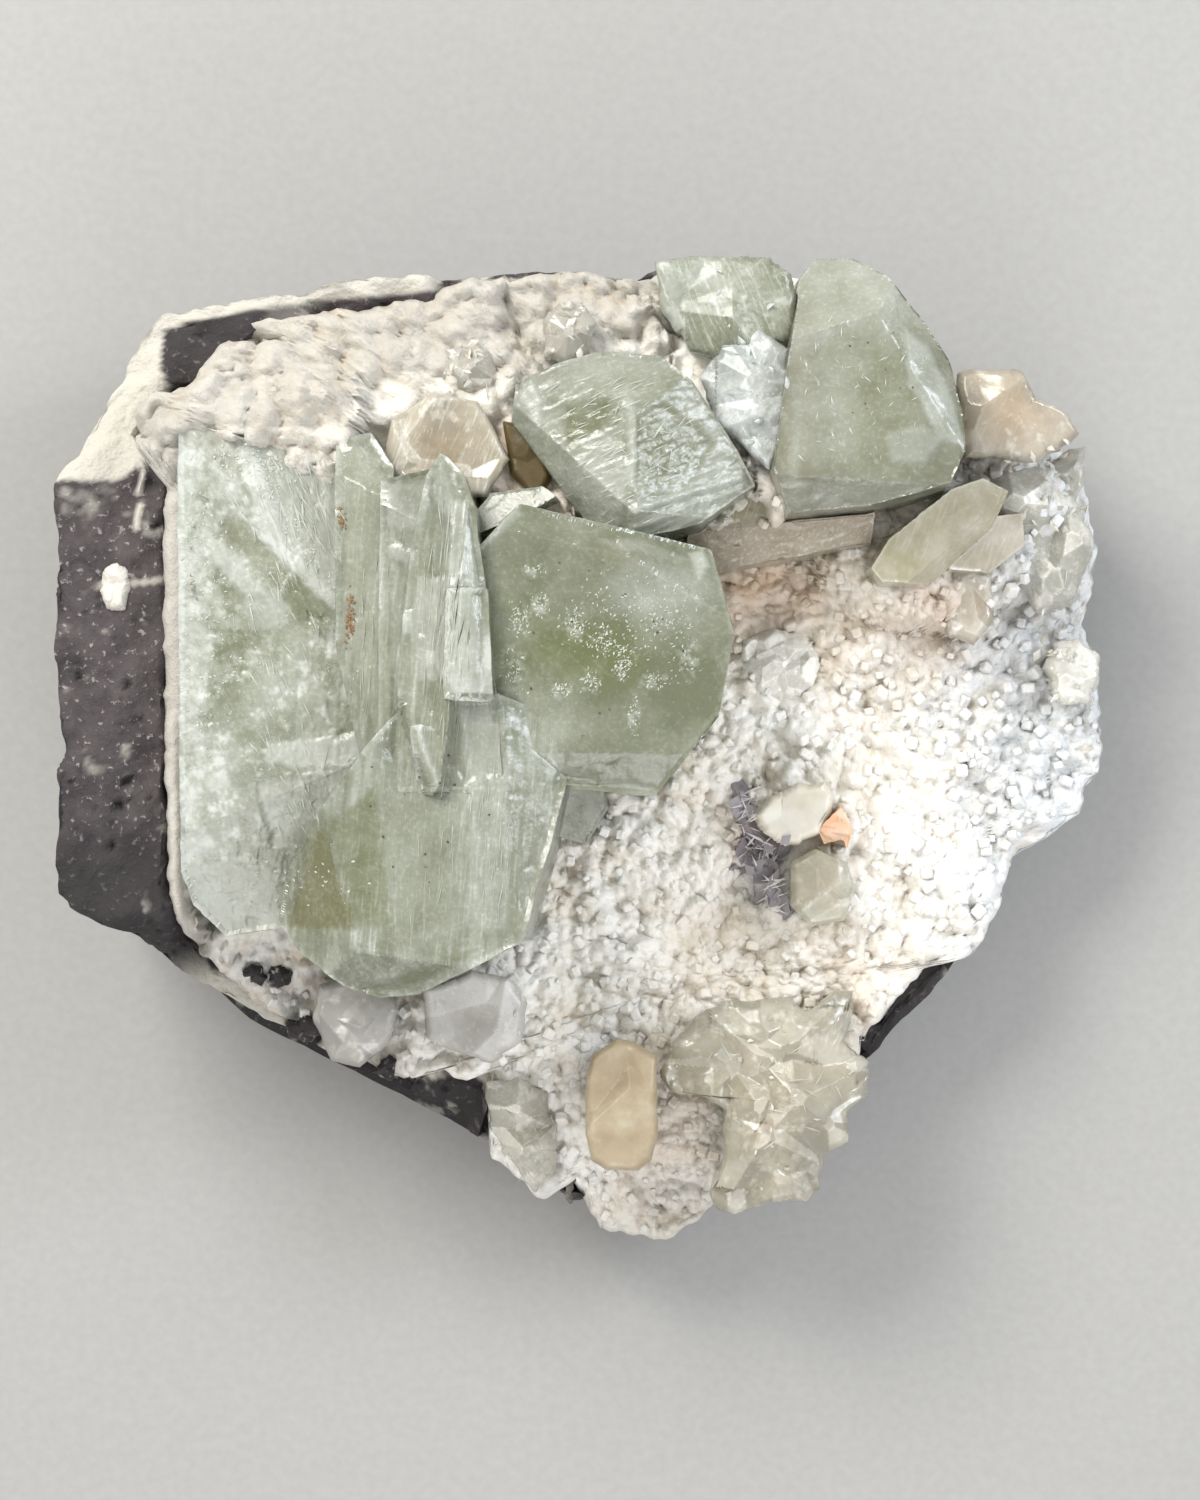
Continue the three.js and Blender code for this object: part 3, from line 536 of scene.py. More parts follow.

# %% [markdown]
# ## Druse: a white crust of grown-together grains
#
# Zeolite druse is thousands of tiny white blocks and balls that grew side by side, white where they catch
# the light, and darker and tan in the crevices between them, which the material paints as shade with a little
# real tan. The crust itself is one closed skin: rings of points from the middle out to the rim, round the rim
# and back underneath. Balls on scattered points, 5, 2.4 and 1.2 mm wide, sit on one another, and the widest
# stand out on the walls.

# %% The material of the druse


def druse_material():
    """Massive white zeolite, grown in tiny intergrown crystals: matt, and slightly waxy inside."""
    made, tree = new_material("zeolite_druse_white")
    place = add_node(tree, "TexCoord").outputs["Object"]
    crevice, stain, cool, dull = (
        add_node(tree, "Attribute", {"attribute_name": key}).outputs["Fac"]
        for key in ("crevice", "stain", "cool", "dull")
    )
    # soft patches 6 mm wide, and grains under a millimetre
    patch, grain = (
        add_node(tree, "TexNoise", {"Scale": scale, "Detail": detail, "Roughness": rough}, {"Vector": place})
        for scale, detail, rough in ((160, 6, 0.6), (1500, 4, 0.7))
    )
    stops = [(0.34, "#DBD3C4"), (0.46, "#E5E1D8"), (0.62, "#EBE9E3")]
    colour = add_node(tree, "ValToRGB", {"stops": stops}, {"Fac": patch})
    deep = add_node(tree, "Math", {"operation": "MULTIPLY"}, {0: crevice, 1: grain})
    # bluish towards the rims; grey on the walls, partly their own grey and partly painted shade; painted
    # shade, tan, in the crevices; stained with iron, and brown in two deep gaps as painted shade
    for share, shade in ((cool, "#CDCFD0"), (dull, "#AAA69E"), (deep, "#BBA88D"), (stain, "#D2AE8C")):
        colour = add_node(
            tree, "Mix", {"data_type": "RGBA", SECOND: shade}, {SHARE: share, FIRST: colour}
        ).outputs[MIXED]
    bump = add_node(tree, "Bump", {"Strength": 0.6, "Distance": 0.0006}, {"Height": grain})
    shader = add_node(
        tree,
        "BsdfPrincipled",
        {
            "Roughness": 0.55,
            "IOR": 1.49,
            "Subsurface Weight": 0.25,
            "Subsurface Scale": 0.0012,
            "Subsurface Radius": (1.0, 0.85, 0.7),
        },
        {"Base Color": colour, "Normal": bump},
    )
    add_node(tree, "OutputMaterial", {}, {"Surface": shader})
    return made


DRUSE = druse_material()
print("made the material", DRUSE.name)

# %% Stains and cool rims
# two of these spots, at (-7.5, 33) and (-8, 28), lie in deep gaps beside the upper crystal: there the brown
# is partly painted shade
STAINS_AND_GAP_SHADE = [  # spots of tan iron stain on the druse: plan x and y, radius in mm, strength
    (20, 19, 7, 0.75), (-7.5, 33, 3.8, 1), (30, 14, 8, 0.3), (-8, 28, 6, 0.5), (-36, 41, 12, 0.04),
    (-18, 46, 8, 0.05), (8, -44, 8, 0.35), (17, -10, 5, 0.4), (28, -30, 9, 0.3), (38, 16, 7, 0.5),
    (14, -24, 8, 0.25),
]


def stain_and_gap_shade_at(x, y):
    """Tan stain, and brown painted shade in two deep gaps: soft discs, broken up by noise."""
    total = np.zeros_like(x)
    for sx, sy, radius, strength in STAINS_AND_GAP_SHADE:
        total = np.maximum(total, strength * np.exp(-((x - sx) ** 2 + (y - sy) ** 2) / radius**2))
    rough = 0.75 + 0.5 * fractal(in_plan(x, y), 3.0, 61)
    return np.clip(total * rough, 0, 1)


def cool_at(x, y):
    """Bluish white towards the right and lower rims."""
    return np.clip(ease(x, 30, 52) + 0.5 * ease(-y, 28, 50), 0, 1) * 0.9


# %% The surface of the druse
LUMPS = [  # width of the balls in mm, their height on the floor and on the walls as shares of that, seed
    (5.0, 0.12, 0.34, 9),
    (2.4, 0.38, 0.38, 5),
    (1.15, 0.34, 0.36, 6),
]
MELT = 0.09  # how far neighbouring balls flow together, as a share of their width
NOTHING = -99.0  # the height where no ball or crystal stands, mm


def heaped(x, y, width, seed, base):
    """The top of a heap of balls, one to a cell: each is centred at the base height of its own spot, so it
    stays round on a steep wall. Neighbours flow together by a soft maximum, k ln(sum of exp(h / k)).
    Also the height of the highest ball over the next one, in mm."""
    soft = np.zeros_like(x)
    best, second = np.full_like(x, NOTHING), np.full_like(x, NOTHING)
    floor = base(x, y) - 0.5 * width
    for cell, at in neighbour_cells(x, y, width, seed, 0.85):
        radius = width * (0.5 + 0.32 * hashed(cell, seed + 3))
        away = (x - at[:, 0]) ** 2 + (y - at[:, 1]) ** 2
        ball = base(*at.T) + np.sqrt(np.clip(radius**2 - away, 0, None)) - 0.5 * width
        high = np.where(away < radius**2, ball, NOTHING)
        second = np.maximum(second, np.minimum(best, high))
        best = np.maximum(best, high)
        soft += np.exp(np.clip((high - floor) / (MELT * width), -60, 60))
    return floor + MELT * width * np.log(1 + soft), best - second


def broken_slope(x, y):
    """1 on the rough, grey slope below the cleaved crystal, 0 elsewhere."""
    return fall(np.hypot((x + 38) / 8, (y + 28) / 7), 0.7, 1.1)


def druse_surface(x, y):
    """Height of the finished druse, and how far down in the gaps between the balls each place lies, from 0 to
    1, which the material paints as shade. Balls of three widths sit on one another like the florets of a
    cauliflower."""
    flat = in_plan(x, y)
    rim = fall(x, -46.5, -44.5) * fall(y, 26, 34)
    wall = ease(wall_at(x, y), 0.25, 0.6) * (1 - 0.8 * rim)
    ground = druse_height(x, y)
    warp = np.stack([fractal(flat, 3, 71), fractal(flat, 3, 72)], -1)
    height, crevice = ground - 0.6 + 0.5 * fractal(flat, 9, 73), np.zeros_like(x)
    for width, on_floor, on_wall, seed in LUMPS:
        top, gap = heaped(*(flat[:, :2] + 0.22 * width * warp).T, width, seed, druse_height)
        share = 2 * (on_floor + (on_wall - on_floor) * wall) * (0.85 + 0.5 * fractal(flat, 6, seed + 30))
        share = share * (1 - 0.85 * rim)
        height += share * (top - ground)
        # painted shade: where two balls meet, the gap is marked for the material to darken
        crevice += share * fall(gap, 0.0, 0.22 * width)
    slope = broken_slope(x, y)
    height += 1.1 * slope * fractal(flat, 1.8, 70, fade=0.8) + 0.07 * fractal(flat, 0.7, 74)
    height += 0.4 * wall * fractal(flat, 2.4, 76, fade=0.8)
    height += (0.5 * wall
               * (0.5 - scattered(flat + 0.3 * np.pad(warp, ((0, 0), (0, 1))), 1.5, 79, flat=True)[0]))
    crevice *= (1 - 0.35 * fall(x, 12, 26)) * ease(fractal(flat, 5, 75), -0.25, 0.35)
    return height, np.clip(crevice + slope * ease(fractal(flat, 1.6, 69, fade=0.8), 0.05, 0.3), 0, 1)


def druse_looks(x, y, depth):
    """Everything that the material of the druse reads, at each place."""
    wall = ease(wall_at(x, y), 0.3, 0.7) + ease(bare_druse_height(x, y), 24, 32) * 0.5
    wall = np.maximum(wall, 0.75 * brow(x, y)[1] * ease(y, 24, 28))
    rim = fall(x, -45.5, -43.5) * fall(y, 30, 36)
    # grey and painted shade: the walls, the rim beside the cleaved crystal and the lower rim are greyed
    # darker
    dull = np.clip(0.92 * wall + 0.3 * rim + 0.5 * fall(y, -55, -48), 0, 0.97)
    dull = dull * (1 + 0.3 * fractal(in_plan(x, y), 4, 78))
    slope = broken_slope(x, y)
    cool = np.clip(cool_at(x, y) + 0.6 * rim + 0.5 * slope, 0, 1)
    return {"crevice": depth, "stain": stain_and_gap_shade_at(x, y), "cool": cool, "dull": dull + 0.3 * slope}


# %% The crust as rings of points
CRUST_UNDER = [1.0, 0.985, 0.93, 0.7, 0.35]  # rings back under the crust, as shares of its reach
WALL_BORDER = 0.16  # where the wall has risen so far, the fine skins of the floor end
BORDER_SLOPE = 12.0  # how steeply a skin dives beyond its border, mm
FLOOR_PARTING = (0.62, -0.78, -10.0)  # the fine skins meet on the line a x + b y + c = 0
CRUST_ROUND = 1.6  # radius of the crust's round edge, mm
FARTHEST = 130.0  # no rim lies farther from a skin's middle, mm


def reach_from(centre, degrees):
    """How far the rim of the druse lies from a centre in each direction, found by halving the way."""
    across = directions(degrees)[:, :2].T
    low, high = np.zeros_like(degrees), np.full_like(degrees, FARTHEST)
    for _ in range(30):
        middle = (low + high) / 2
        x, y = np.array(centre)[:, None] + middle * across
        within = np.hypot(x, y) < druse_rim(bearing(x, y))
        low, high = np.where(within, middle, low), np.where(within, high, middle)
    return low


def crust_skin(centre, spokes, rings, widest, border):
    """Closed skin of the druse or a part of it. Ring r lies at share r of the way to the rim, at the druse's
    height; its edge bends down in a quarter circle, and the rings below close it. Beyond its border, where
    `border` is negative, the skin dives under the next one."""
    degrees = np.arange(spokes) * 360 / spokes
    across = directions(degrees)
    rim = np.minimum(reach_from(centre, degrees), widest)
    place = across * rim[:, None] + [*centre, 0]
    rim = rim - 0.35 - 1.3 * np.abs(fractal(place, 5, 81))
    rim = rim - 0.25 * noise(place, 1.1, 82) * ease(place[:, 0], -46, -42)
    share = np.linspace(0.02, 1, rings)[:, None]
    x, y = (centre[i] + share * rim * across[:, i] for i in (0, 1))
    height, crevice = (v.reshape(x.shape) for v in druse_surface(x.ravel(), y.ravel()))
    edge = np.clip(1 - (1 - share) * rim / CRUST_ROUND, 0, 1)
    dive = np.clip(-border(x, y), 0, 0.06) * BORDER_SLOPE
    top = np.stack([x, y, height - dive - CRUST_ROUND * (1 - np.sqrt(1 - edge**2))], -1)
    under = []
    for back in CRUST_UNDER:
        bx, by = (centre[i] + back * rim * across[:, i] for i in (0, 1))
        dip = CRUST * (0.75 if back == 1.0 else 1.0)
        under.append(np.stack([bx, by, bare_druse_height(bx, by) - dip], -1))
    loops = np.concatenate([top, np.array(under)])
    middle = np.array([centre], dtype=float).T
    ends = [[*centre, druse_surface(*middle)[0][0]]], [[*centre, bare_druse_height(*middle)[0] - CRUST]]
    points = np.concatenate([ends[0], loops.reshape(-1, 3), ends[1]])
    faces = grid_faces(len(loops), spokes, 0, len(points) - 1)
    return points, faces, np.concatenate([[0], crevice.ravel(), np.zeros(len(under) * spokes + 1)])


def on_floor(x, y):
    """Positive on the floor of the cavity where it is open to view, negative on walls and under crystals."""
    hidden = np.maximum(np.minimum(14 - x, y + 4), y - 21 - 0.1 * x)
    return WALL_BORDER - np.maximum(wall_at(x, y), 0.02 * hidden)


def parted(x, y, side):
    """Positive on the open floor, on one side of the parting line only."""
    a, b, c = FLOOR_PARTING
    return np.minimum(on_floor(x, y), side * (a * x + b * y + c) * 0.05)


SKINS = [  # name, CAD nodes it stands for, then centre, spokes, rings, widest reach in mm and border
    ("druse_crust", ["zeolite_druse"], ((0, 0), 760, 126, FARTHEST, lambda x, y: -on_floor(x, y))),
    ("druse_floor_low", [], ((12, -26), 720, 130, 37.0, lambda x, y: parted(x, y, 1))),
    ("druse_floor_right", [], ((36, 2), 720, 130, 37.0, lambda x, y: parted(x, y, -1))),
]
for name, stands_for, skin in SKINS:
    points, faces, depth = crust_skin(*skin)
    looks = druse_looks(points[:, 0], points[:, 1], depth)
    add_piece(name, points, faces, DRUSE, "druse", replaces=stands_for, crease=75, **looks)

# %% [markdown]
# ### Grains on the druse
#
# Close up, the floor of the cavity is a heap of little blocks with chamfered edges. Each is a cube cut at
# its edges and corners, stretched and turned at random and half sunk in the crust. All of them are worked
# out at once, as an array of grains by corners.

# %% A block with chamfered edges


def chamfered_block(chamfer=0.3):
    """Corners and triangles of a cube from -1 to 1 whose edges are cut off: each face is drawn in by the
    chamfer, so that 24 corners remain, three for each corner of the cube."""
    signs = np.array([(a, b, c) for a in (-1, 1) for b in (-1, 1) for c in (-1, 1)])
    corners = np.concatenate([signs * (1 - chamfer * (np.arange(3) != axis)) for axis in range(3)])
    index = {tuple(s): i for i, s in enumerate(signs)}
    at = lambda axis, sign: 8 * axis + index[tuple(sign)]
    polygons = []
    for axis in range(3):
        u, v = (axis + 1) % 3, (axis + 2) % 3
        for side in (-1, 1):
            turn = []
            for a, b in ((-1, -1), (1, -1), (1, 1), (-1, 1)):
                sign = [0, 0, 0]
                sign[axis], sign[u], sign[v] = side, a, b
                turn.append(at(axis, sign))
            polygons.append(turn)
        for a, b in ((-1, -1), (1, -1), (1, 1), (-1, 1)):
            low, high = [0, 0, 0], [0, 0, 0]
            low[axis], high[axis] = -1, 1
            low[u] = high[u] = a
            low[v] = high[v] = b
            polygons.append([at(u, low), at(u, high), at(v, high), at(v, low)])
    polygons += [[at(axis, s) for axis in range(3)] for s in signs]
    triangles = []
    for polygon in polygons:
        for i in range(1, len(polygon) - 1):
            a, b, c = polygon[0], polygon[i], polygon[i + 1]
            normal = np.cross(corners[b] - corners[a], corners[c] - corners[a])
            outward = np.dot(normal, corners[a] + corners[b] + corners[c]) > 0
            triangles.append((a, b, c) if outward else (a, c, b))
    return corners, np.array(triangles)


def turns(spin, lean, way):
    """Rotations by three angles in degrees: a turn round Z, then a lean round a level axis that points `way`.
    With u the axis and K its cross product matrix, the lean is cos I + sin K + (1 - cos) u uT."""
    axis = directions(way)
    cross = np.zeros((len(axis), 3, 3))
    cross[:, 0, 2] = axis[:, 1]
    cross[:, 1, 2] = -axis[:, 0]
    cross = cross - np.swapaxes(cross, 1, 2)
    c, s = (f(np.radians(lean))[:, None, None] for f in (np.cos, np.sin))
    leaning = c * np.eye(3) + s * cross + (1 - c) * axis[:, :, None] * axis[:, None, :]
    upward = np.tile([0.0, 0.0, 1.0], (len(axis), 1))
    return leaning @ np.stack([directions(spin), directions(spin + 90), upward], -1)


def heap(shape, places, sizes, rotations):
    """Copies of a shape as one set of points and triangles: each is scaled, turned and put in its place."""
    corners, triangles = shape
    points = np.einsum("nij,nkj->nki", rotations, corners[None] * sizes[:, None, :]) + places[:, None, :]
    faces = triangles[None] + len(corners) * np.arange(len(places))[:, None, None]
    return points.reshape(-1, 3), faces.reshape(-1, 3)


def strewn(spacing, source, keep):
    """Places in plan on a jittered grid of that spacing that lie inside the druse and pass `keep`."""
    xs, ys = np.meshgrid(np.arange(-62, 62, spacing), np.arange(-60, 60, spacing))
    x = xs.ravel() + source.uniform(-0.48, 0.48, xs.size) * spacing
    y = ys.ravel() + source.uniform(-0.48, 0.48, xs.size) * spacing
    kept = (np.hypot(x, y) < druse_rim(bearing(x, y)) - CRUST_ROUND) & keep(x, y)
    return x[kept], y[kept]


# %% Grains heaped on the floor
BLOCK = chamfered_block()


def grains(name, seed, spacing, sizes, sink, keep):
    """Blocks strewn on the druse where `keep` says so. Each sinks so far in, as a share of its size."""
    source = np.random.default_rng(seed)
    x, y = strewn(spacing, source, keep)
    height, crevice = druse_surface(x, y)
    size = source.uniform(*sizes, len(x))
    stretch = source.uniform(0.65, 1.0, (len(x), 3)) * size[:, None] / 2
    z = height + size * (0.5 - sink)
    around, over, way = (most * source.random(len(x)) for most in (360, 180, 360))
    points, faces = heap(BLOCK, np.stack([x, y, z], -1), stretch, turns(around, over, way))
    bottom = np.repeat(z, len(BLOCK[0]))
    # painted shade: each grain is darker and tan towards its foot, where it sits in the crust
    deep = np.clip((bottom - points[:, 2]) / np.repeat(size, len(BLOCK[0])) + 0.1, 0, 1)
    add_piece(name, points, faces, DRUSE, "druse", crease=20, **druse_looks(*points[:, :2].T, deep))


GRAIN_PARTING = -12.0  # the grains above this line on the plan are one piece and those below another, mm
for name, seed, is_upper in (("druse_grains_upper", 3, True), ("druse_grains_lower", 4, False)):
    grains(name, seed, 2.3, (0.7, 1.7), 0.6,
           lambda x, y: (on_floor(x, y) > 0) & ((y > GRAIN_PARTING) == is_upper))

# %% [markdown]
# ## Basalt: the dark matrix
#
# Basalt is a dark lava, here purple-brown and matt, full of small gas bubbles. Some are empty pits and some
# are filled with white zeolite. The slab was broken to shape, so its sides are rough facets, and its base is
# flat. The block is one closed skin again: rings under the druse, over the bare rock, down the sides and
# across the base. Scattered points give it facets and pits, and noise roughens it all over.

# %% The material of the basalt


def basalt_material():
    """Fine-grained dark lava: dull, with pale flecks of feldspar, and zeolite in the smallest bubbles."""
    made, tree = new_material("basalt_dark")
    place = add_node(tree, "TexCoord").outputs["Object"]
    pit, chalk = (
        add_node(tree, "Attribute", {"attribute_name": key}).outputs["Fac"] for key in ("pit", "chalk")
    )
    patch, fleck = (
        add_node(tree, "TexNoise", {"Scale": scale, "Detail": detail, "Roughness": rough}, {"Vector": place})
        for scale, detail, rough in ((220, 8, 0.7), (1300, 3, 0.6))
    )
    stops = [(0.3, "#231F20"), (0.5, "#3B3536"), (0.7, "#4C4546")]
    colour = add_node(tree, "ValToRGB", {"stops": stops}, {"Fac": patch})
    pale = add_node(tree, "ValToRGB", {"stops": [(0.6, 0.0), (0.68, 0.75)]}, {"Fac": fleck})
    # flecks of feldspar; painted shade, darkest in the pits, and over the lower part, the bare patch and the
    # rock windows; and the white coat over all
    for share, shade in ((pale, "#8E8788"), (pit, "#181516"), (chalk, "#B4B0A6")):
        colour = add_node(
            tree, "Mix", {"data_type": "RGBA", SECOND: shade}, {SHARE: share, FIRST: colour}
        ).outputs[MIXED]
    bump = add_node(tree, "Bump", {"Strength": 0.7, "Distance": 0.0005}, {"Height": fleck})
    shader = add_node(
        tree, "BsdfPrincipled", {"Roughness": 0.85, "IOR": 1.5}, {"Base Color": colour, "Normal": bump}
    )
    add_node(tree, "OutputMaterial", {}, {"Surface": shader})
    return made


BASALT = basalt_material()
print("made the material", BASALT.name)

# %% The slab as rings of points
SLAB_SPOKES = 720
BARE_RINGS = 26  # rings from the druse out to the crest
SIDE_RINGS = 52  # rings from the crest down to the base
BURIED = 2.4  # how far the slab's top rings reach in under the rim of the druse, mm
HIDDEN_RINGS = (0.3, 0.5, 0.6, 0.68, 0.75, 0.81, 0.86, 0.9, 0.93, 0.96, 0.98)  # under the druse, as shares


def under_crust(x, y):
    """Height of the rock below the crust."""
    return bare_druse_height(x, y) - CRUST - 0.5


def slab_skin():
    """Closed skin of the slab: rings buried under the druse, rings over the bare rock to the crest, rings
    down the sides that lean in to the base outline, and a flat base."""
    degrees = np.arange(SLAB_SPOKES) * 360 / SLAB_SPOKES
    c, s, _ = directions(degrees).T
    crest, foot, rim = rock_rim(degrees) - tucked(degrees), rock_foot(degrees), druse_rim(degrees)
    crest = crest - 0.3 - 0.8 * np.abs(fractal(in_plan(crest * c, crest * s), 6, 91))
    inner = np.minimum(rim, crest) - BURIED
    bare = ease(crest - rim, 0.3, 1.5)
    rings = []
    for share in HIDDEN_RINGS:
        x, y = share * inner * c, share * inner * s
        rings.append(np.stack([x, y, under_crust(x, y)], -1))
    for share in np.linspace(0, 1, BARE_RINGS):
        radius = inner + (crest - inner) * share
        x, y = radius * c, radius * s
        under = under_crust(x, y)
        rings.append(np.stack([x, y, under + (bare_height(x, y) - under) * bare * ease(share, 0, 0.12)], -1))
    top = rings[-1][:, 2]
    for share in np.linspace(0, 1, SIDE_RINGS + 1)[1:]:
        radius = crest + (foot - 0.4 - crest) * share
        rings.append(np.stack([radius * c, radius * s, top * (1 - share)], -1))
    rings.append(in_plan(0.6 * foot * c, 0.6 * foot * s))
    rings = np.array(rings)
    middle = [[0, 0, under_crust(np.zeros(1), np.zeros(1))[0]]]
    points = np.concatenate([middle, rings.reshape(-1, 3), [[0, 0, 0]]])
    return points, grid_faces(len(rings), SLAB_SPOKES, 0, len(points) - 1)


# %% The broken surface of the slab


def broken(points, triangles):
    """Roughens the slab along its normals: facets 8.5 mm wide, rough grain and bubble holes. The base and the
    part under the druse stay as they are. Also gives the painted shade: in the holes, over the lower part and
    over the bare patch at the upper left."""
    x, y, z = points.T
    open_rock = np.clip(z / 1.5, 0, 1)
    coated = chalk_at(points)
    near, second, number = scattered(points, 8.5, 31)
    broad, _, depth = scattered(points, 19.0, 33)
    steep = fall(np.abs(normals_of(points, triangles)[:, 2]), 0.4, 0.7) * fall(z, 30, 37)
    facets = (1.1 * (near - 0.5) + 0.7 * (number - 0.5)
              + steep * (2.4 * np.minimum(broad - 0.8, 0) - 0.9 * depth))
    rough = 0.55 * fractal(points, 4.0, 41, octaves=4, fade=0.6)
    hole, _, which = scattered(points, 3.1, 51)
    pit = (which > 0.62) * fall(hole, 0.12, 0.3)
    tiny, _, which = scattered(points, 1.5, 57)
    small_pit = (which > 0.7) * fall(tiny, 0.14, 0.34)
    lift = np.minimum(facets + rough, 0.35) - (0.9 * pit + 0.35 * small_pit) * (1 - coated) - 0.3
    knobs = 0.5 * (0.5 - scattered(points, 2.2, 58)[0]) + 0.25 * (0.5 - scattered(points, 1.1, 59)[0])
    lift = lift * (1 - 0.5 * coated) + coated * knobs
    moved = points + normals_of(points, triangles) * (lift * open_rock)[:, None]
    # painted shade: the lower part of the slab and the bare patch at the upper left are darkened, and go out
    # with the darkened holes in the pit attribute
    shade = 0.75 * fall(y, -14, -4) + 0.6 * ease(inside(x, y, BARE_PATCH), -2, -1)
    return moved, np.clip(0.8 * pit + 0.5 * small_pit + shade, 0, 1)


# %% The white coat on the rock
BARE_PATCH = [  # where the rock shows through the white crust in the upper left corner
    (-48.7, 46.9), (-45.8, 47.8), (-36.5, 49.2), (-38.5, 45.6), (-41.3, 42.7), (-44.2, 40.4), (-47.6, 38.9),
    (-49.2, 42.6),
]
# bare spots in the coat of the lower left side: x, y and half widths, in mm
HOLES = [(-39, -26.3, 2.6, 1.6), (-34.9, -32.8, 3, 2.8), (-27.5, -36.7, 2.8, 2.2), (-19, -42.4, 9, 5),
         (-43.5, -23, 3, 3)]


def chalk_at(points):
    """White zeolite smeared over the rock: a coat over the upper left corner and the lower left side, with
    holes where the rock shows, a line along the upper crest, a thin vein, and dust."""
    x, y, z = points.T
    stray = fractal(points, 3.5, 64, fade=0.65)
    shore = np.interp(x, [-60, -53, -51, -48], [29.8, 30.2, 31.8, 34.0])
    corner = ease(y - shore + 0.5 * stray, -0.2, 0.3) * fall(x, -34, -30) * ease(z + 9 * stray, 29, 31)
    patch = ease(inside(x + 0.5 * stray, y + 0.4 * stray, BARE_PATCH), -0.1, 0.4)
    streaks = ease(y - 0.085 * x + 0.5 * lines_along(points, (1.0, 0.1, 0.0), 0.7, 65), 52.9, 51.9)
    streaks = streaks * ease(x, -42, -38)
    corner = corner * (1 - patch) * (1 - 0.85 * streaks)
    way = bearing(x, y)
    side = ease(way, 205, 212) * fall(way, 262, 268) * ease(z + 9 * stray, 9, 11)
    for hx, hy, rx, ry in HOLES:
        side = side * (1 - fall(np.hypot((x - hx) / rx, (y - hy) / ry) + 0.35 * stray, 0.8, 1.0))
    side = side * fall(fractal(points, 3.0, 66, fade=0.7), 0.25, 0.4)
    crest = ease(y - 0.085 * x + 0.3 * stray, 52.4, 53.2) * fall(x, -5, 8) * ease(z + 9 * stray, 33, 35)
    seam = fall(np.abs(y - 19 - 0.12 * (x + 50) + 0.8 * fractal(points, 5, 62)), 0.25, 0.6)
    seam = seam * fall(x, -45, -43) * ease(x, -57, -55)
    vein = (fall(np.abs(x + 51.3 - 0.1 * (y - 28) + 0.4 * stray), 0.12, 0.35) * ease(y, 24, 25)
            * fall(y, 31, 33))
    dust = ease(fractal(points, 2.2, 63), 0.35, 0.6) * 0.4
    return np.clip(np.max([corner, side, crest, 0.6 * seam, vein, dust], axis=0), 0, 1)


points, faces = slab_skin()
points, pits_and_shade = broken(points, faces)
add_piece("basalt_slab", points, faces, BASALT, "basalt", replaces=["basalt_matrix"], crease=50,
          pit=pits_and_shade, chalk=chalk_at(points))

# %% [markdown]
# ## Apophyllite: cloudy green glass
#
# Apophyllite is clear to milky, pale green, with a glassy lustre on its faces and a pearly one where it
# cleaved. It is a Principled shader with transmission, its real refractive index of 1.535 and a pale green
# absorption in its body. Four corner attributes say how milky, how green, how tan and how silky each place
# is: clear places let light through, milky ones scatter it back.

# %% The materials of the clear crystals
CLOUD = 4.0  # width of the soft clouds in the crystals, mm
FIBRE = 0.35  # width of the fine silky lines, mm
FIBRE_STRETCH = 12  # they are so many times longer than wide
GRAIN = 0.5  # width of the fine grain, mm
REFRACTION = 1.535  # refractive index of apophyllite


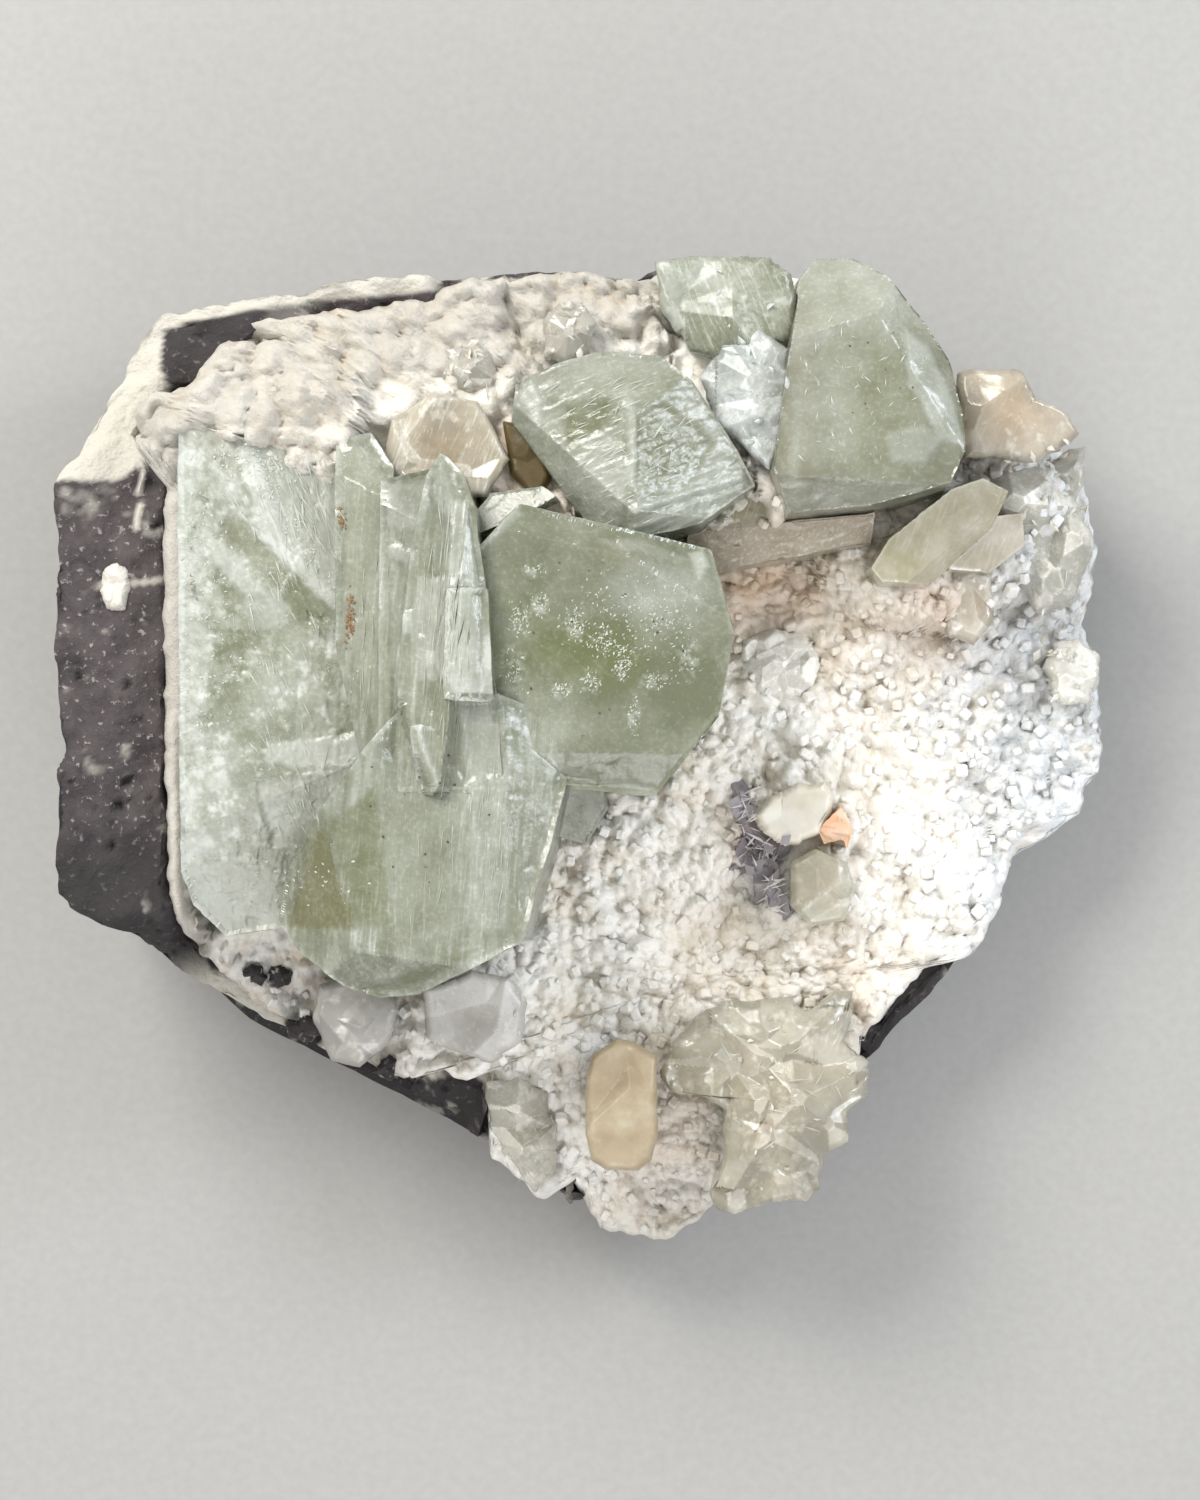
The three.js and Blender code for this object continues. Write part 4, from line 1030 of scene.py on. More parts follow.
def crystal_material(name, colours, absorbing, density, haze, rough, heading, specks=0.2):
    """A clear crystal. `colours` are its clear, green, tan and milky ones, `absorbing` and `density` the
    light lost in its body, `haze` its transmission where clear and where milky, `rough` its roughness there,
    `heading` the way its silky lines run, in degrees from the X axis, `specks` how milky its grain is."""
    made, tree = new_material(name)
    place = add_node(tree, "TexCoord").outputs["Object"]
    milk, tone, tan, silky = (
        add_node(tree, "Attribute", {"attribute_name": key}).outputs["Fac"]
        for key in ("milk", "tone", "tan", "silk")
    )
    along = add_node(
        tree,
        "Mapping",
        {"vector_type": "TEXTURE", "Rotation": (0, 0, np.radians(heading)), "Scale": (FIBRE_STRETCH, 1, 1)},
        {"Vector": place},
    )
    cloud, silk, grain = (
        add_node(
            tree, "TexNoise", {"Scale": 1 / (size * MM), "Detail": detail, "Roughness": r}, {"Vector": at}
        )
        for size, detail, r, at in ((CLOUD, 5, 0.55, place), (FIBRE, 3, 0.6, along), (GRAIN, 4, 0.7, place))
    )
    # the three patterns pull the milkiness up and down round what the attribute says
    pull = milk
    lines = add_node(tree, "Math", {"operation": "SUBTRACT", 1: 0.5}, {0: silk})
    lines = add_node(tree, "Math", {"operation": "MULTIPLY"}, {0: lines, 1: silky})
    for pattern, *spans in (
        (cloud, 0.3, 0.7, -0.14, 0.14),
        (lines, 0.02, 0.2, 0.0, 0.4),
        (grain, 0.5, 0.75, -0.03, specks),
    ):
        ranges = dict(zip(("From Min", "From Max", "To Min", "To Max"), spans))
        swing = add_node(tree, "MapRange", ranges, {"Value": pattern})
        pull = add_node(tree, "Math", {"operation": "ADD"}, {0: pull, 1: swing})
    milky = add_node(tree, "Clamp", {}, {"Value": pull})
    clear, green, brown, white = colours
    shade = add_node(tree, "Mix", {"data_type": "RGBA", FIRST: clear, SECOND: green}, {SHARE: tone})
    for share, over in ((tan, brown), (milky, white)):
        shade = add_node(
            tree, "Mix", {"data_type": "RGBA", SECOND: over}, {SHARE: share, FIRST: shade.outputs[MIXED]}
        )
    through, etched = (
        add_node(tree, "MapRange", {"To Min": where_clear, "To Max": where_milky}, {"Value": milky})
        for where_clear, where_milky in (haze, rough)
    )
    height = add_node(tree, "Math", {"operation": "ADD"}, {0: lines, 1: grain})
    bump = add_node(tree, "Bump", {"Strength": 0.22, "Distance": 0.0002}, {"Height": height})
    shader = add_node(
        tree,
        "BsdfPrincipled",
        {"IOR": REFRACTION},
        {
            "Base Color": shade.outputs[MIXED],
            "Transmission Weight": through,
            "Roughness": etched,
            "Normal": bump,
        },
    )
    body = add_node(tree, "VolumeAbsorption", {"Color": absorbing, "Density": density})
    add_node(tree, "OutputMaterial", {}, {"Surface": shader, "Volume": body})
    return made


# %% The clear materials of this specimen
GREENS = ["#818571", "#7B8158", "#8F805B", "#B8BBB3"]
CLEAVED_GREENS = ["#8C907C", "#828862", "#9A8E72", "#B6B9B3"]
PEARL = ["#B0B6B2", "#A7AE97", "#AFA48D", "#CDD1D0"]
COLOURLESS = ["#D6D3C8", "#C6C7A6", "#CDB492", "#EDEAE2"]
CREAMS = ["#B3B0A3", "#C0BE94", "#BAA283", "#D6D3C9"]
GREYS = ["#A5A39E", "#A3A593", "#B4A68E", "#CAC7C1"]
MAIN_GLASS, CLEAVED, UPPER_GLASS, RIGHT_GLASS, PEARLY, CLEAR, CLOUDY, GREY = (
    crystal_material(*look)
    for look in (
        # pale green apophyllite with glassy faces
        ("apophyllite_main", GREENS, "#C8D2B4", 30.0, (0.55, 0.2), (0.06, 0.3), 85),
        # the same, cleaved: pearly, and milky under its broken skin
        ("apophyllite_cleaved", CLEAVED_GREENS, "#CDD8B6", 20.0, (0.6, 0.1), (0.15, 0.45), 112),
        ("apophyllite_upper", GREENS, "#C8D2B4", 30.0, (0.6, 0.25), (0.06, 0.3), 24),
        ("apophyllite_right", GREENS, "#C8D2B4", 30.0, (0.6, 0.25), (0.06, 0.3), 78),
        # a bluish white, flaky piece
        ("apophyllite_pearly", PEARL, "#DDE8E6", 16.0, (0.55, 0.12), (0.1, 0.35), 60),
        # colourless zeolite, as clear as window glass where it isn't cracked
        ("zeolite_clear", COLOURLESS, "#ECEAE0", 10.0, (0.6, 0.12), (0.04, 0.22), 70),
        # cream zeolite with a cloudy inside
        ("zeolite_cloudy", CREAMS, "#E8E2D4", 14.0, (0.55, 0.12), (0.05, 0.25), 70, 0.05),
        # grey heulandite, pearly on its flat face
        ("heulandite_grey", GREYS, "#DAD8D6", 20.0, (0.5, 0.15), (0.1, 0.3), 40, 0.05),
    )
)
print("made 8 clear materials, of refractive index", REFRACTION)

# %% [markdown]
# ### How a crystal is carved
#
# Each crystal is its CAD solid with fine triangles. Growth lines run along it and low hills step over its
# faces. Larger features are marks: convex outlines in plan, inside which the face is raised or tilted and
# painted. The corners of sharp edges are painted milky: partly bruising, partly a painted highlight along
# the edge.

# %% Carving and painting a crystal
LENGTHWAYS = (0.087, 0.996, 0.0)  # the long prism's axis in plan
UPRIGHT = (0.0, 0.0, 1.0)
MARK_STRENGTH = 0.75  # how far a mark's paint covers what is below
CRYSTAL_CREASE = 24  # edges of a crystal sharper than this stay sharp, degrees
PAINTS = ("milk", "tone", "tan", "silk")  # the attributes that a crystal's material reads


def blob(x, y, cx, cy, rx, ry):
    """A soft oval spot: 1 in its middle, falling to 0 outside its two radii."""
    return fall(np.hypot((x - cx) / rx, (y - cy) / ry), 0.2, 1.0)


def edge_sharpness(points, triangles):
    """How sharp the surface is at each corner, 0 to 1: four times one less its triangles' mean normal."""
    cross = crossed(points, triangles)
    total = np.stack([at_corners(v, triangles, len(points)) for v in cross.T], -1)
    areas = at_corners(np.linalg.norm(cross, axis=1), triangles, len(points))
    return np.clip(4 * (1 - np.linalg.norm(total, axis=1) / np.maximum(areas, 1e-9)), 0, 1)


tops = {}  # the corners that face up, for every crystal by name

# %% Growing a crystal over its CAD solid


def grown(node, name, material, slot, seed, marks=(), paint=None, base=(0.2, 0.2, 0.0), fine=0.35,
          coarse=0.8, axis=UPRIGHT, lines=(0.08, 0.9), hills=(0.2, 5.0, 0.1), chips=0.1, wander=0.0,
          edge=0.35, spread=0.3, silk=1.0, carving=None):
    """A crystal from a CAD solid. `lines` is the depth and width of growth lines along the axis, `hills` the
    height, size and step of growth hills, `chips` the depth of damage, `wander` how far the marks' edges
    stray, and `spread` how far the sides move out to meet their neighbours, all in mm. `base` or `paint`
    gives the milk, tone, tan and silkiness, the first three of which the marks then change. `edge` is how
    milky sharp edges are painted, partly bruising and partly a painted highlight, and `carving` gives what is
    taken off the height at each place."""
    points, triangles = refined(*cad_copy(node), coarse, fine)
    out = normals_of(points, triangles)
    x, y, z = points.T
    axis = np.array(axis)
    lift = lines[0] * (1 - (out @ axis) ** 2) * lines_along(points, axis, lines[1], seed)
    lift = lift + stepped(hills[0] * fractal(points, hills[1], seed + 5), hills[2]) - hills[0]
    lift = lift - chips * ease(fractal(points, 1.6, seed + 9), 0.25, 0.7)
    strayed = [v + wander * fractal(points, 2.5, seed + i, fade=0.65) for i, v in enumerate((x, y))]
    clouds = 0.28 * fractal(points, 2.5, seed + 11) + 0.12 * lines_along(points, axis, 1.2, seed + 12)
    looks = (paint(x, y, points) if paint
             else [value + share * clouds for value, share in zip(base, (1, -1, 0.5))])
    silk = looks.pop() if len(looks) > 3 else np.full(len(x), silk)
    rise = np.zeros(len(x))
    for outline, raised, east, north, *shades in marks:
        share = ease(inside(*strayed, outline), -0.3, 0.45)
        middle = np.mean(outline, axis=0)
        rise += share * (raised + east * (x - middle[0]) + north * (y - middle[1]))
        looks = [have + MARK_STRENGTH * share * (want - have) for have, want in zip(looks, shades)]
    milk, tone, tan = looks
    # painted highlight: sharp edges are painted milky, partly bruising and partly the thin bright line that
    # light draws along an edge
    milk = milk + edge * edge_sharpness(points, triangles)
    points = points + out * lift[:, None]
    points[:, :2] += spread * out[:, :2] * fall(np.abs(out[:, 2]), 0.8, 0.95)[:, None]
    points[:, 2] += rise * ease(out[:, 2], 0.3, 0.7) + (carving(x, y, z) if carving else 0)
    paints = {key: np.clip(v, 0, 1) for key, v in zip(PAINTS, (milk, tone, tan, silk))}
    tops[name] = points[out[:, 2] > 0.5]
    add_piece(name, points, triangles, material, slot, replaces=[node], crease=CRYSTAL_CREASE, **paints)


# %% [markdown]
# ### The main crystal
#
# The long prism is made of many parallel parts. Its top is striated like silk along its length, milky
# blue-white on the raised column, partly a painted reflection, and olive on the left band and at the lower
# left. The block that grew through it shows its flat base to the viewer: smooth, greener in its middle,
# cloudy at the right.

# %% The paint of the main crystal
# tight clusters of white flaws in the face of the block: x, y, spread along both, how many
TIGHT_FEATHERS = [
    (-8.7, 14.1, 1.2, 2, 80), (-6.5, 15.7, 1, 1.4, 50), (-2.7, 13.6, 1.2, 1.8, 80), (0, 11.9, 1.2, 1.8, 70),
    (2.7, 10.3, 1.2, 1.8, 80), (-1.1, 7.6, 1.2, 1.4, 60), (-4.3, 6.5, 1.2, 0.9, 40), (6, 7.6, 1.8, 1, 50),
    (2.2, 8.7, 0.9, 1.2, 50), (-7.1, 19.5, 1.2, 0.7, 30), (9.5, 9.5, 1.5, 2.5, 30), (-9.5, 9, 1.4, 2.4, 40),
    (3.5, 4, 0.8, 2.4, 40),
]
FEATHERS = TIGHT_FEATHERS + [(1.5, 14.5, 6, 5, 160), (7.5, 14.0, 3.0, 4.0, 120)]  # and loose ones round them


def main_paint(x, y, points):
    """Milk, tone and tan of the main crystal before its marks: the block's clouds, the prism's silk."""
    edge = np.interp(y, [-4.4, 3, 6, 18, 29], [-4.4, -5, -11.6, -13, -15])
    block = ease(x - edge, -0.15, 0.15) * ease(y, -5, -4)
    silk = lines_along(points, LENGTHWAYS, 0.9, 404)
    clouds = 0.17 + 0.30 * blob(x, y, 7, 17, 9, 5) + 0.22 * blob(x, y, -6, 3.5, 8, 6)
    clouds -= 0.22 * blob(x, y, 9, 7, 6, 6) + 0.12 * blob(x, y, 0, 10.5, 7, 5)
    green = 0.35 + 0.65 * blob(x, y, -0.5, 10.5, 9, 6) + 0.35 * blob(x, y, -9, 12, 7, 9)
    green -= 0.35 * blob(x, y, 6, 17, 9, 5)
    etched = np.max([blob(x, y, cx, cy, 1.5 * rx, 1.5 * ry) for cx, cy, rx, ry, _ in TIGHT_FEATHERS], axis=0)
    clouds += (0.5 * etched * ease(fractal(points, 0.8, 408, fade=0.8), -0.02, 0.25)
               - 0.12 * blob(x, y, 0, 8, 9, 8))
    olive = blob(x, y, -30.5, -14, 5, 9)
    # painted reflection: the raised column gets more milky streaks, which stand partly for the light it
    # reflects
    column = fall(np.abs(x + 16.2 - 0.087 * (y - 8)), 3.6, 5.2) * ease(y, -6, -3)
    streaks = ease(lines_along(points, LENGTHWAYS, 0.55, 407, 30), 0.1, 0.35)
    milk = (1 - block) * (0.32 - 0.3 * olive + 0.22 * silk + (0.2 + 0.25 * column) * streaks) + block * clouds
    tone = (1 - block) * (0.3 + 0.2 * silk) + block * green
    # painted shadow: a tan patch along the upper edge of the block, next to the upper crystal
    tan = 0.25 * block * blob(x, y, 2, 21.5, 5, 2.2) + 0.05 * block * fall(y, -4, 0)
    return [milk, tone, tan, (0.55 + 0.3 * fractal(points, 5, 405)) * (1 - block) + 0.06]


# %% The shape and marks of the main crystal
TONGUE = [(-21.2, 10), (-16, 10), (-16, 5.9), (-17.4, -3.9), (-18.3, -3.9), (-20.8, 3)]
BROKEN_LEVEL = 48.15  # height of the break in the raised column, mm


def main_carving(x, y, z):
    """Beside its pointed tongue the raised column has broken off, down to the wide part of the prism."""
    gone = fall(inside(x, y, TONGUE), -0.8, 0.0) * fall(y, 4.8, 6.2) * ease(y, -8.0, -3.4)
    gone = gone * ease(x, -24.4, -21.8) * fall(x, -11.2, -9.6)
    ripples = lines_along(np.stack([x, y, z], -1), LENGTHWAYS, 1.2, 406)
    broken_level = BROKEN_LEVEL - 0.35 * ease(y, -2, 1) * fall(x, -19, -17) + 0.15 * ripples
    return np.minimum(broken_level - z, 0) * gone * ease(z, 47.5, 48.5)


MAIN_MARKS = [  # outline, raised, tilt east and north in mm, then milk, tone and tan
    ([(-28.9, 33.6), (-25.9, 33.2), (-23.8, 30.7), (-23, 20), (-22.5, 0.5), (-24.3, 0.5), (-27.6, 12)],
     0.06, 0.03, 0, 0.5, 0.6, 0.1),
    ([(-23.2, 28.5), (-17.9, 29.9), (-19.3, 23.3), (-23.2, 24.2)], 0.3, 0, 0.05, 0.62, 0.1, 0),
    ([(-22.8, 21.8), (-22.1, 22.3), (-19.8, 21.4), (-20.2, 19.6), (-22.7, 20.9)], 0.21, 0, 0, 0.8, 0, 0),
    ([(-16.6, 17), (-12.8, 17), (-14.2, 27), (-16.2, 27)], 0.5, 0, -0.1, 0.7, 0.1, 0),
    ([(-24.1, -3.8), (-21.7, 0.5), (-16.8, 5.4), (-14.9, -3.2), (-14.3, -20.6), (-21.7, -21.7), (-22.8, -16)],
     0.07, 0.01, 0, 0.33, 0.25, 0),
    ([(-24.1, -3.8), (-23.3, -12), (-22.5, -19.3), (-26.4, -19.3), (-27.1, -16.6), (-29.7, -8.1)],
     -0.03, 0, 0, 0.14, 0.85, 0),
    ([(-29.7, -8.3), (-27.1, -16.6), (-26.4, -19.5), (-33.8, -19.5), (-33.7, -18.2), (-31.4, -11.4)],
     -0.15, 0.05, 0, 0, 0.9, 0.45),
    ([(-14.3, -3.2), (-10, -2.7), (-9.5, -11.9), (-10, -19.5), (-14.1, -20)], 0.06, 0, 0, 0.6, 0.1, 0),
    ([(-10, -2.7), (-4.5, -3.4), (-4.9, -6.1), (-6.2, -11.8), (-8, -19.3), (-9.7, -19.7)],
     -0.12, -0.06, 0, 0.35, 0.4, 0.15),
    ([(-8, -19.3), (-16.6, -23.6), (-20.9, -26.1), (-26.2, -26.1), (-27.7, -25.2), (-17.5, -22.7)],
     -0.18, 0, 0.1, 0.15, 0.5, 0.05),
    ([(-20.2, 2.7), (-19.4, 2.4), (-17.6, -3.7), (-18, -3.9)], 0.27, 0, 0, 1, 0, 0),
    ([(9.5, 21.2), (11.1, 21.8), (12, 19.9), (10.6, 18.1)], 0.15, 0.05, 0.05, 0.85, 0, 0),
    ([(-13.7, 25.3), (-12.3, 26.7), (-10.9, 26.9), (-8, 25.6), (-13.7, 20.8)],
     0.18, 0, 0.06, 0.5, 0.1, 0.05),
    ([(-0.7, 24.5), (4.3, 22.6), (9.5, 22.4), (9.8, 20.4), (7.8, 20), (0, 22.2)],
     -0.06, 0, 0.12, 0.5, 0.1, 0.1),
    ([(-4.8, -2.9), (-4.3, -1.3), (0, -2.2), (-0.2, -3.7)], -0.12, 0, 0.15, 0.4, 0.2, 0),
    ([(-0.2, -3.7), (1.3, -2.4), (6, -3.8), (5.8, -4.4), (2.1, -4.2)], -0.12, 0, 0.15, 0.4, 0.2, 0),
    ([(-17.8, 29.9), (-17.1, 31.3), (-15.6, 26.9), (-15.9, 23.7), (-18, 26.9)], 0.09, -0.1, 0, 0.6, 0.1, 0),
    ([(-19.8, 18.6), (-13.6, 18.6), (-12.5, 11.8), (-12.5, 8), (-16.2, 7.5), (-19.4, 7.5), (-20.5, 11.8)],
     0.15, 0.03, 0, 0.72, 0, 0),
    ([(-16.3, 7.8), (-12.5, 8.2), (-12.1, 6.2), (-15.5, 5.8)], -0.06, 0, 0.25, 1, 0, 0),
    ([(-15.5, 5.8), (-12.1, 6.1), (-9.9, -2.7), (-14.2, -3.2)], -0.21, 0, 0, 0.62, 0, 0),
    ([(-17.7, 8.8), (-15.5, 5.8), (-14.6, -3.2), (-17.2, -1.1), (-18.5, 5.4)], -0.18, 0, 0, 0.25, 0.4, 0.1),
    ([(-21.1, 14.9), (-20.2, 15.2), (-20.2, 12.7), (-20.9, 12.5)], 0.18, 0, 0, 1, 0, 0),
    ([(-19.1, 10.4), (-17.8, 10.4), (-17.8, 9), (-19, 9)], 0.18, 0, 0, 0.95, 0, 0),
]
grown("apophyllite_main", "apophyllite_main_grown", MAIN_GLASS, "apophyllite", 101, MAIN_MARKS, main_paint,
      fine=0.455, coarse=0.95, axis=LENGTHWAYS, lines=(0.16, 1.0), hills=(0.16, 7.0, 0.08), chips=0.12,
      wander=0.35, spread=0.7, carving=main_carving)

# %% [markdown]
# ### The cleaved crystal on the left
#
# This crystal was broken through when the specimen was trimmed. Its white outer skin shows round the left
# and lower edges, its olive heart between, and a fan of silvery cleavage steps hangs from its upper edge.

# %% The cleaved crystal


def cleaved_paint(x, y, points):
    """White skin on the left and below, cloudy pale green inside, tan towards the upper wall."""
    drift = 1.2 * fractal(points, 5, 7)
    frayed = drift + 1.6 * fractal(points, 1.4, 8, fade=0.75)
    left, low = fall(x + frayed, -44.2, -41.2), fall(y + frayed, -14.5, -11.0)
    corner = ease(y + frayed, 25, 29) * fall(x, -41, -37)
    rim = np.max([left, low, corner, 0.8 * ease(y + frayed, 31, 34)], axis=0)
    veil = 0.40 + 0.35 * fractal(points, 6, 9) + 0.1 * lines_along(points, (-0.37, 0.93, 0), 0.9, 33)
    top = ease(y + 2 * drift, 27, 33)
    # painted sheen: the fan of cleavage steps gets more silk lines, whose milk stands partly for its silvery
    # lustre
    fan = blob(x, y, -34, 27, 8, 12) + 0.5 * blob(x, y, -31, -3, 7, 5)
    silk = 0.3 + 0.6 * np.clip(fan, 0, 1)
    mottle = 0.45 * ease(fractal(points, 1.3, 12, fade=0.75), 0.0, 0.5)
    mottle = mottle + 0.3 * ease(fractal(points, 3.5, 14), 0.1, 0.4)
    frost = 0.72 + 0.5 * fractal(points, 0.9, 15, fade=0.8) + 0.25 * fractal(points, 4, 16)
    milk = np.clip(np.maximum(rim * frost, veil + mottle), 0, 1)
    return [milk, 0.45 + 0.6 * fractal(points, 8, 10), 0.35 * top, silk]


CLEAVED_MARKS = [  # as for the main crystal: outline, raised, tilts, then milk, tone and tan
    ([(-40.5, 35.6), (-28.6, 35.6), (-27, 13), (-31, 17), (-37.2, 23.2)], 0.19, 0, 0, 0.92, 0, 0),
    ([(-38.8, 35.2), (-28.9, 35.2), (-27.9, 16), (-34, 22)], -0.2, 0, 0, 0.5, 0, 0),
    ([(-41.1, 26.8), (-38.5, 24.6), (-34.1, 19.8), (-35.2, 17.2), (-41.8, 23.6)],
     -0.2, 0, 0, 0.22, 0.85, 0.25),
    ([(-34.1, 19.6), (-31.7, 17.6), (-30.2, 14.5), (-33, 13.7), (-34.9, 16.5)],
     -0.17, 0, 0, 0.15, 0.9, 0.05),
    ([(-43, 23.6), (-40.5, 22), (-36.6, 17), (-39, 16.5), (-42.3, 20.4)], 0.11, 0, 0, 0.78, 0, 0),
    ([(-39, 17.6), (-35, 17.6), (-34.5, 13.7), (-38.5, 13), (-39.6, 15.2)], 0.06, 0, 0, 0.65, 0.2, 0),
    ([(-30.1, 5.3), (-25.5, 5.9), (-24.7, 2.4), (-28, 1.6), (-29.9, 2.2)], -0.17, 0, 0, 0.3, 0.5, 0),
    ([(-37.1, -1.3), (-36.5, 1.1), (-28, 1.4), (-24.5, 1.7), (-24.5, -1.1), (-28.6, -2), (-33, -2.2)],
     0.14, 0, 0, 0.85, 0, 0),
    ([(-38, -3.5), (-28, -2.4), (-30.6, -7.7), (-32.4, -11), (-36.4, -11)], -0.17, 0.04, 0, 0.7, 0.1, 0),
    ([(-45.9, -12.6), (-40.7, -12.3), (-34, -15.4), (-34.2, -18.7), (-40.7, -20.4), (-45.1, -20)],
     0.06, 0, 0.02, 0.6, 0, 0.1),
]
grown("apophyllite_left", "apophyllite_left_cleaved", CLEAVED, "apophyllite_cleaved", 111, CLEAVED_MARKS,
      cleaved_paint, fine=0.32, axis=LENGTHWAYS, lines=(0.12, 0.6), hills=(0.3, 6.0, 0.06), chips=0.2,
      wander=0.5, spread=0.8)

# %% [markdown]
# ### The crystals above and to the right
#
# The upper crystal has a roof of two faces with a milky ridge between, and its lower edge is a pack of thin
# plates. The right one is smooth and cloudy, yellow near its top. Between them sits a pearly, flaky piece,
# and behind is a broken mass with green glass inside.

# %% The upper crystal
UPPER_MARKS = [
    ([(-7.6, 43.5), (4.4, 43.7), (5.5, 42.1), (4.4, 38.8), (-4.4, 38.2), (-9, 39.9)],
     0, 0, 0, 0.6, 0.1, 0.25),
    ([(-3.8, 37.7), (1.3, 38.2), (0, 35), (-3.8, 32.8)], -0.1, 0, 0, 0.15, 0.9, 0.1),
    ([(-3.8, 31), (-1.1, 25), (2.2, 24), (3.4, 30.6), (1, 34.5)], 0.1, 0, 0, 0.7, 0.1, 0),
    ([(2.6, 38.5), (3.8, 38.5), (3.9, 28.4), (3, 28.4)], 0.2, 0, 0, 0.85, 0, 0),
    ([(4, 36.2), (7.1, 38), (12.9, 34), (11, 31), (3.9, 29)], -0.15, 0, 0, 0.2, 0.7, 0.15),
    ([(2.2, 24), (3.8, 28.2), (15.8, 31.2), (16.6, 29.3), (15.3, 27.9), (3.5, 22.9)],
     0.1, 0, 0.06, 0.62, 0.3, 0),
    ([(3.2, 25.6), (3.5, 26.6), (15.6, 30.4), (15.8, 29.6)], 0.3, 0, 0, 0.95, 0.2, 0),
    ([(3.2, 23.9), (3.4, 24.6), (15.9, 29.2), (15.8, 28.6)], 0.25, 0, 0, 0.85, 0.2, 0),
    ([(-9.5, 37), (-7.8, 36), (-6.3, 32.5), (0.8, 24.4), (2.2, 22.8), (1, 20.5), (-5.5, 26), (-9.5, 32)],
     0, 0, 0, 0, 1, 0.85),
    ([(-9.1, 38.8), (-7.6, 41), (-6.4, 38.2), (-6.6, 35.1), (-7.4, 35.9)], 0.3, 0, 0, 0.95, 0, 0),
]
grown("apophyllite_upper", "apophyllite_upper_grown", UPPER_GLASS, "apophyllite", 121, UPPER_MARKS,
      base=(0.48, 0.35, 0.05), fine=0.32, axis=(0.914, 0.407, 0.0), lines=(0.14, 0.5),
      hills=(0.12, 5.0, 0.04), wander=0.4, silk=0.6)

# %% The right crystal, and the one that lies under both
RIGHT_MARKS = [
    ([(23.1, 53.4), (27.2, 53.4), (27.2, 46.1), (24.7, 46.7), (22.2, 50.5)], 0.15, 0, 0, 0.62, 0.55, 0.12),
    ([(33.5, 46.8), (36.2, 44.9), (39, 39.4), (40.5, 33.5), (37.3, 34), (34, 40.6)], 0.1, 0, 0, 0.75, 0, 0),
    ([(31.3, 35.1), (35.7, 35.7), (37.9, 34), (36.2, 31.6), (31.8, 31.6)], 0.1, 0, 0, 0.55, 0.1, 0),
    ([(20.6, 26.8), (21.6, 26.6), (22.6, 40), (21.4, 40)], 0, 0, 0, 0.5, 0.3, 0.25),
]


def right_paint(x, y, points):
    """Cloudy, greener in the middle and lower right, tan at the left where the crystal is thin."""
    haze = 0.24 + 0.25 * blob(x, y, 25, 38, 7, 12) + 0.1 * fractal(points, 5, 16)
    haze = haze + 0.45 * ease(y, 42, 50) + 0.2 * fall(y, 27, 31)
    return [haze, 0.25 + 0.6 * blob(x, y, 31, 37, 6, 11) + 0.35 * ease(y, 43, 50),
            0.3 * fall(x, 21, 26) + 0.14]


grown("apophyllite_right", "apophyllite_right_grown", RIGHT_GLASS, "apophyllite", 131, RIGHT_MARKS,
      right_paint, fine=0.36, lines=(0.08, 1.0), hills=(0.25, 7.0, 0.1), wander=0.5, silk=0.12)
LOW_MARKS = [
    ([(10, 30), (24.2, 30.3), (23.9, 26.8), (10, 25.6)], 0.1, 0, 0, 0.1, 0.9, 0.25),
    ([(10, 25.6), (23.9, 26.8), (31, 28), (30.6, 23.3), (10, 20.7)], 0, 0, 0, 0.35, 0, 0.85),
]
grown("apophyllite_low", "apophyllite_low_grown", CLOUDY, "apophyllite", 151, LOW_MARKS,
      base=(0.2, 0.35, 0.3), axis=(0.99, 0.13, 0.0), lines=(0.08, 1.0), wander=0.3)

# %% [markdown]
# ## Stilbite and other waxy crystals
#
# Stilbite grows as sheaves of thin blades, cream to peach, with a silky, waxy lustre. A little subsurface
# scattering gives that soft look: light goes in and comes out beside the place where it entered. The colour
# wanders between three near shades. The same recipe serves the pale, the dark and the orange crystals, and a
# dark olive-brown piece in a deep gap, dark as painted shade, because they are cloudy too and differ only in
# colour.

# %% The waxy materials


def waxy_material(name, colours, subsurface):
    """A waxy, slightly translucent crystal, of three near shades. `subsurface` is how much light enters."""
    made, tree = new_material(name)
    place = add_node(tree, "TexCoord").outputs["Object"]
    cloud, fine = (
        add_node(tree, "TexNoise", {"Scale": scale, "Detail": detail, "Roughness": 0.6}, {"Vector": place})
        for scale, detail in ((260, 6), (1800, 3))
    )
    colour = add_node(tree, "ValToRGB", {"stops": list(zip((0.32, 0.5, 0.68), colours))}, {"Fac": cloud})
    bump = add_node(tree, "Bump", {"Strength": 0.2, "Distance": 0.0002}, {"Height": fine})
    shader = add_node(
        tree,
        "BsdfPrincipled",
        {
            "Roughness": 0.36,
            "IOR": 1.5,
            "Subsurface Weight": subsurface,
            "Subsurface Scale": 0.002,
            "Subsurface Radius": (1.0, 0.8, 0.6),
        },
        {"Base Color": colour, "Normal": bump},
    )
    add_node(tree, "OutputMaterial", {}, {"Surface": shader})
    return made


PEACH = waxy_material("stilbite_peach", ["#8F7F67", "#9B8D75", "#AAA08B"], 0.2)
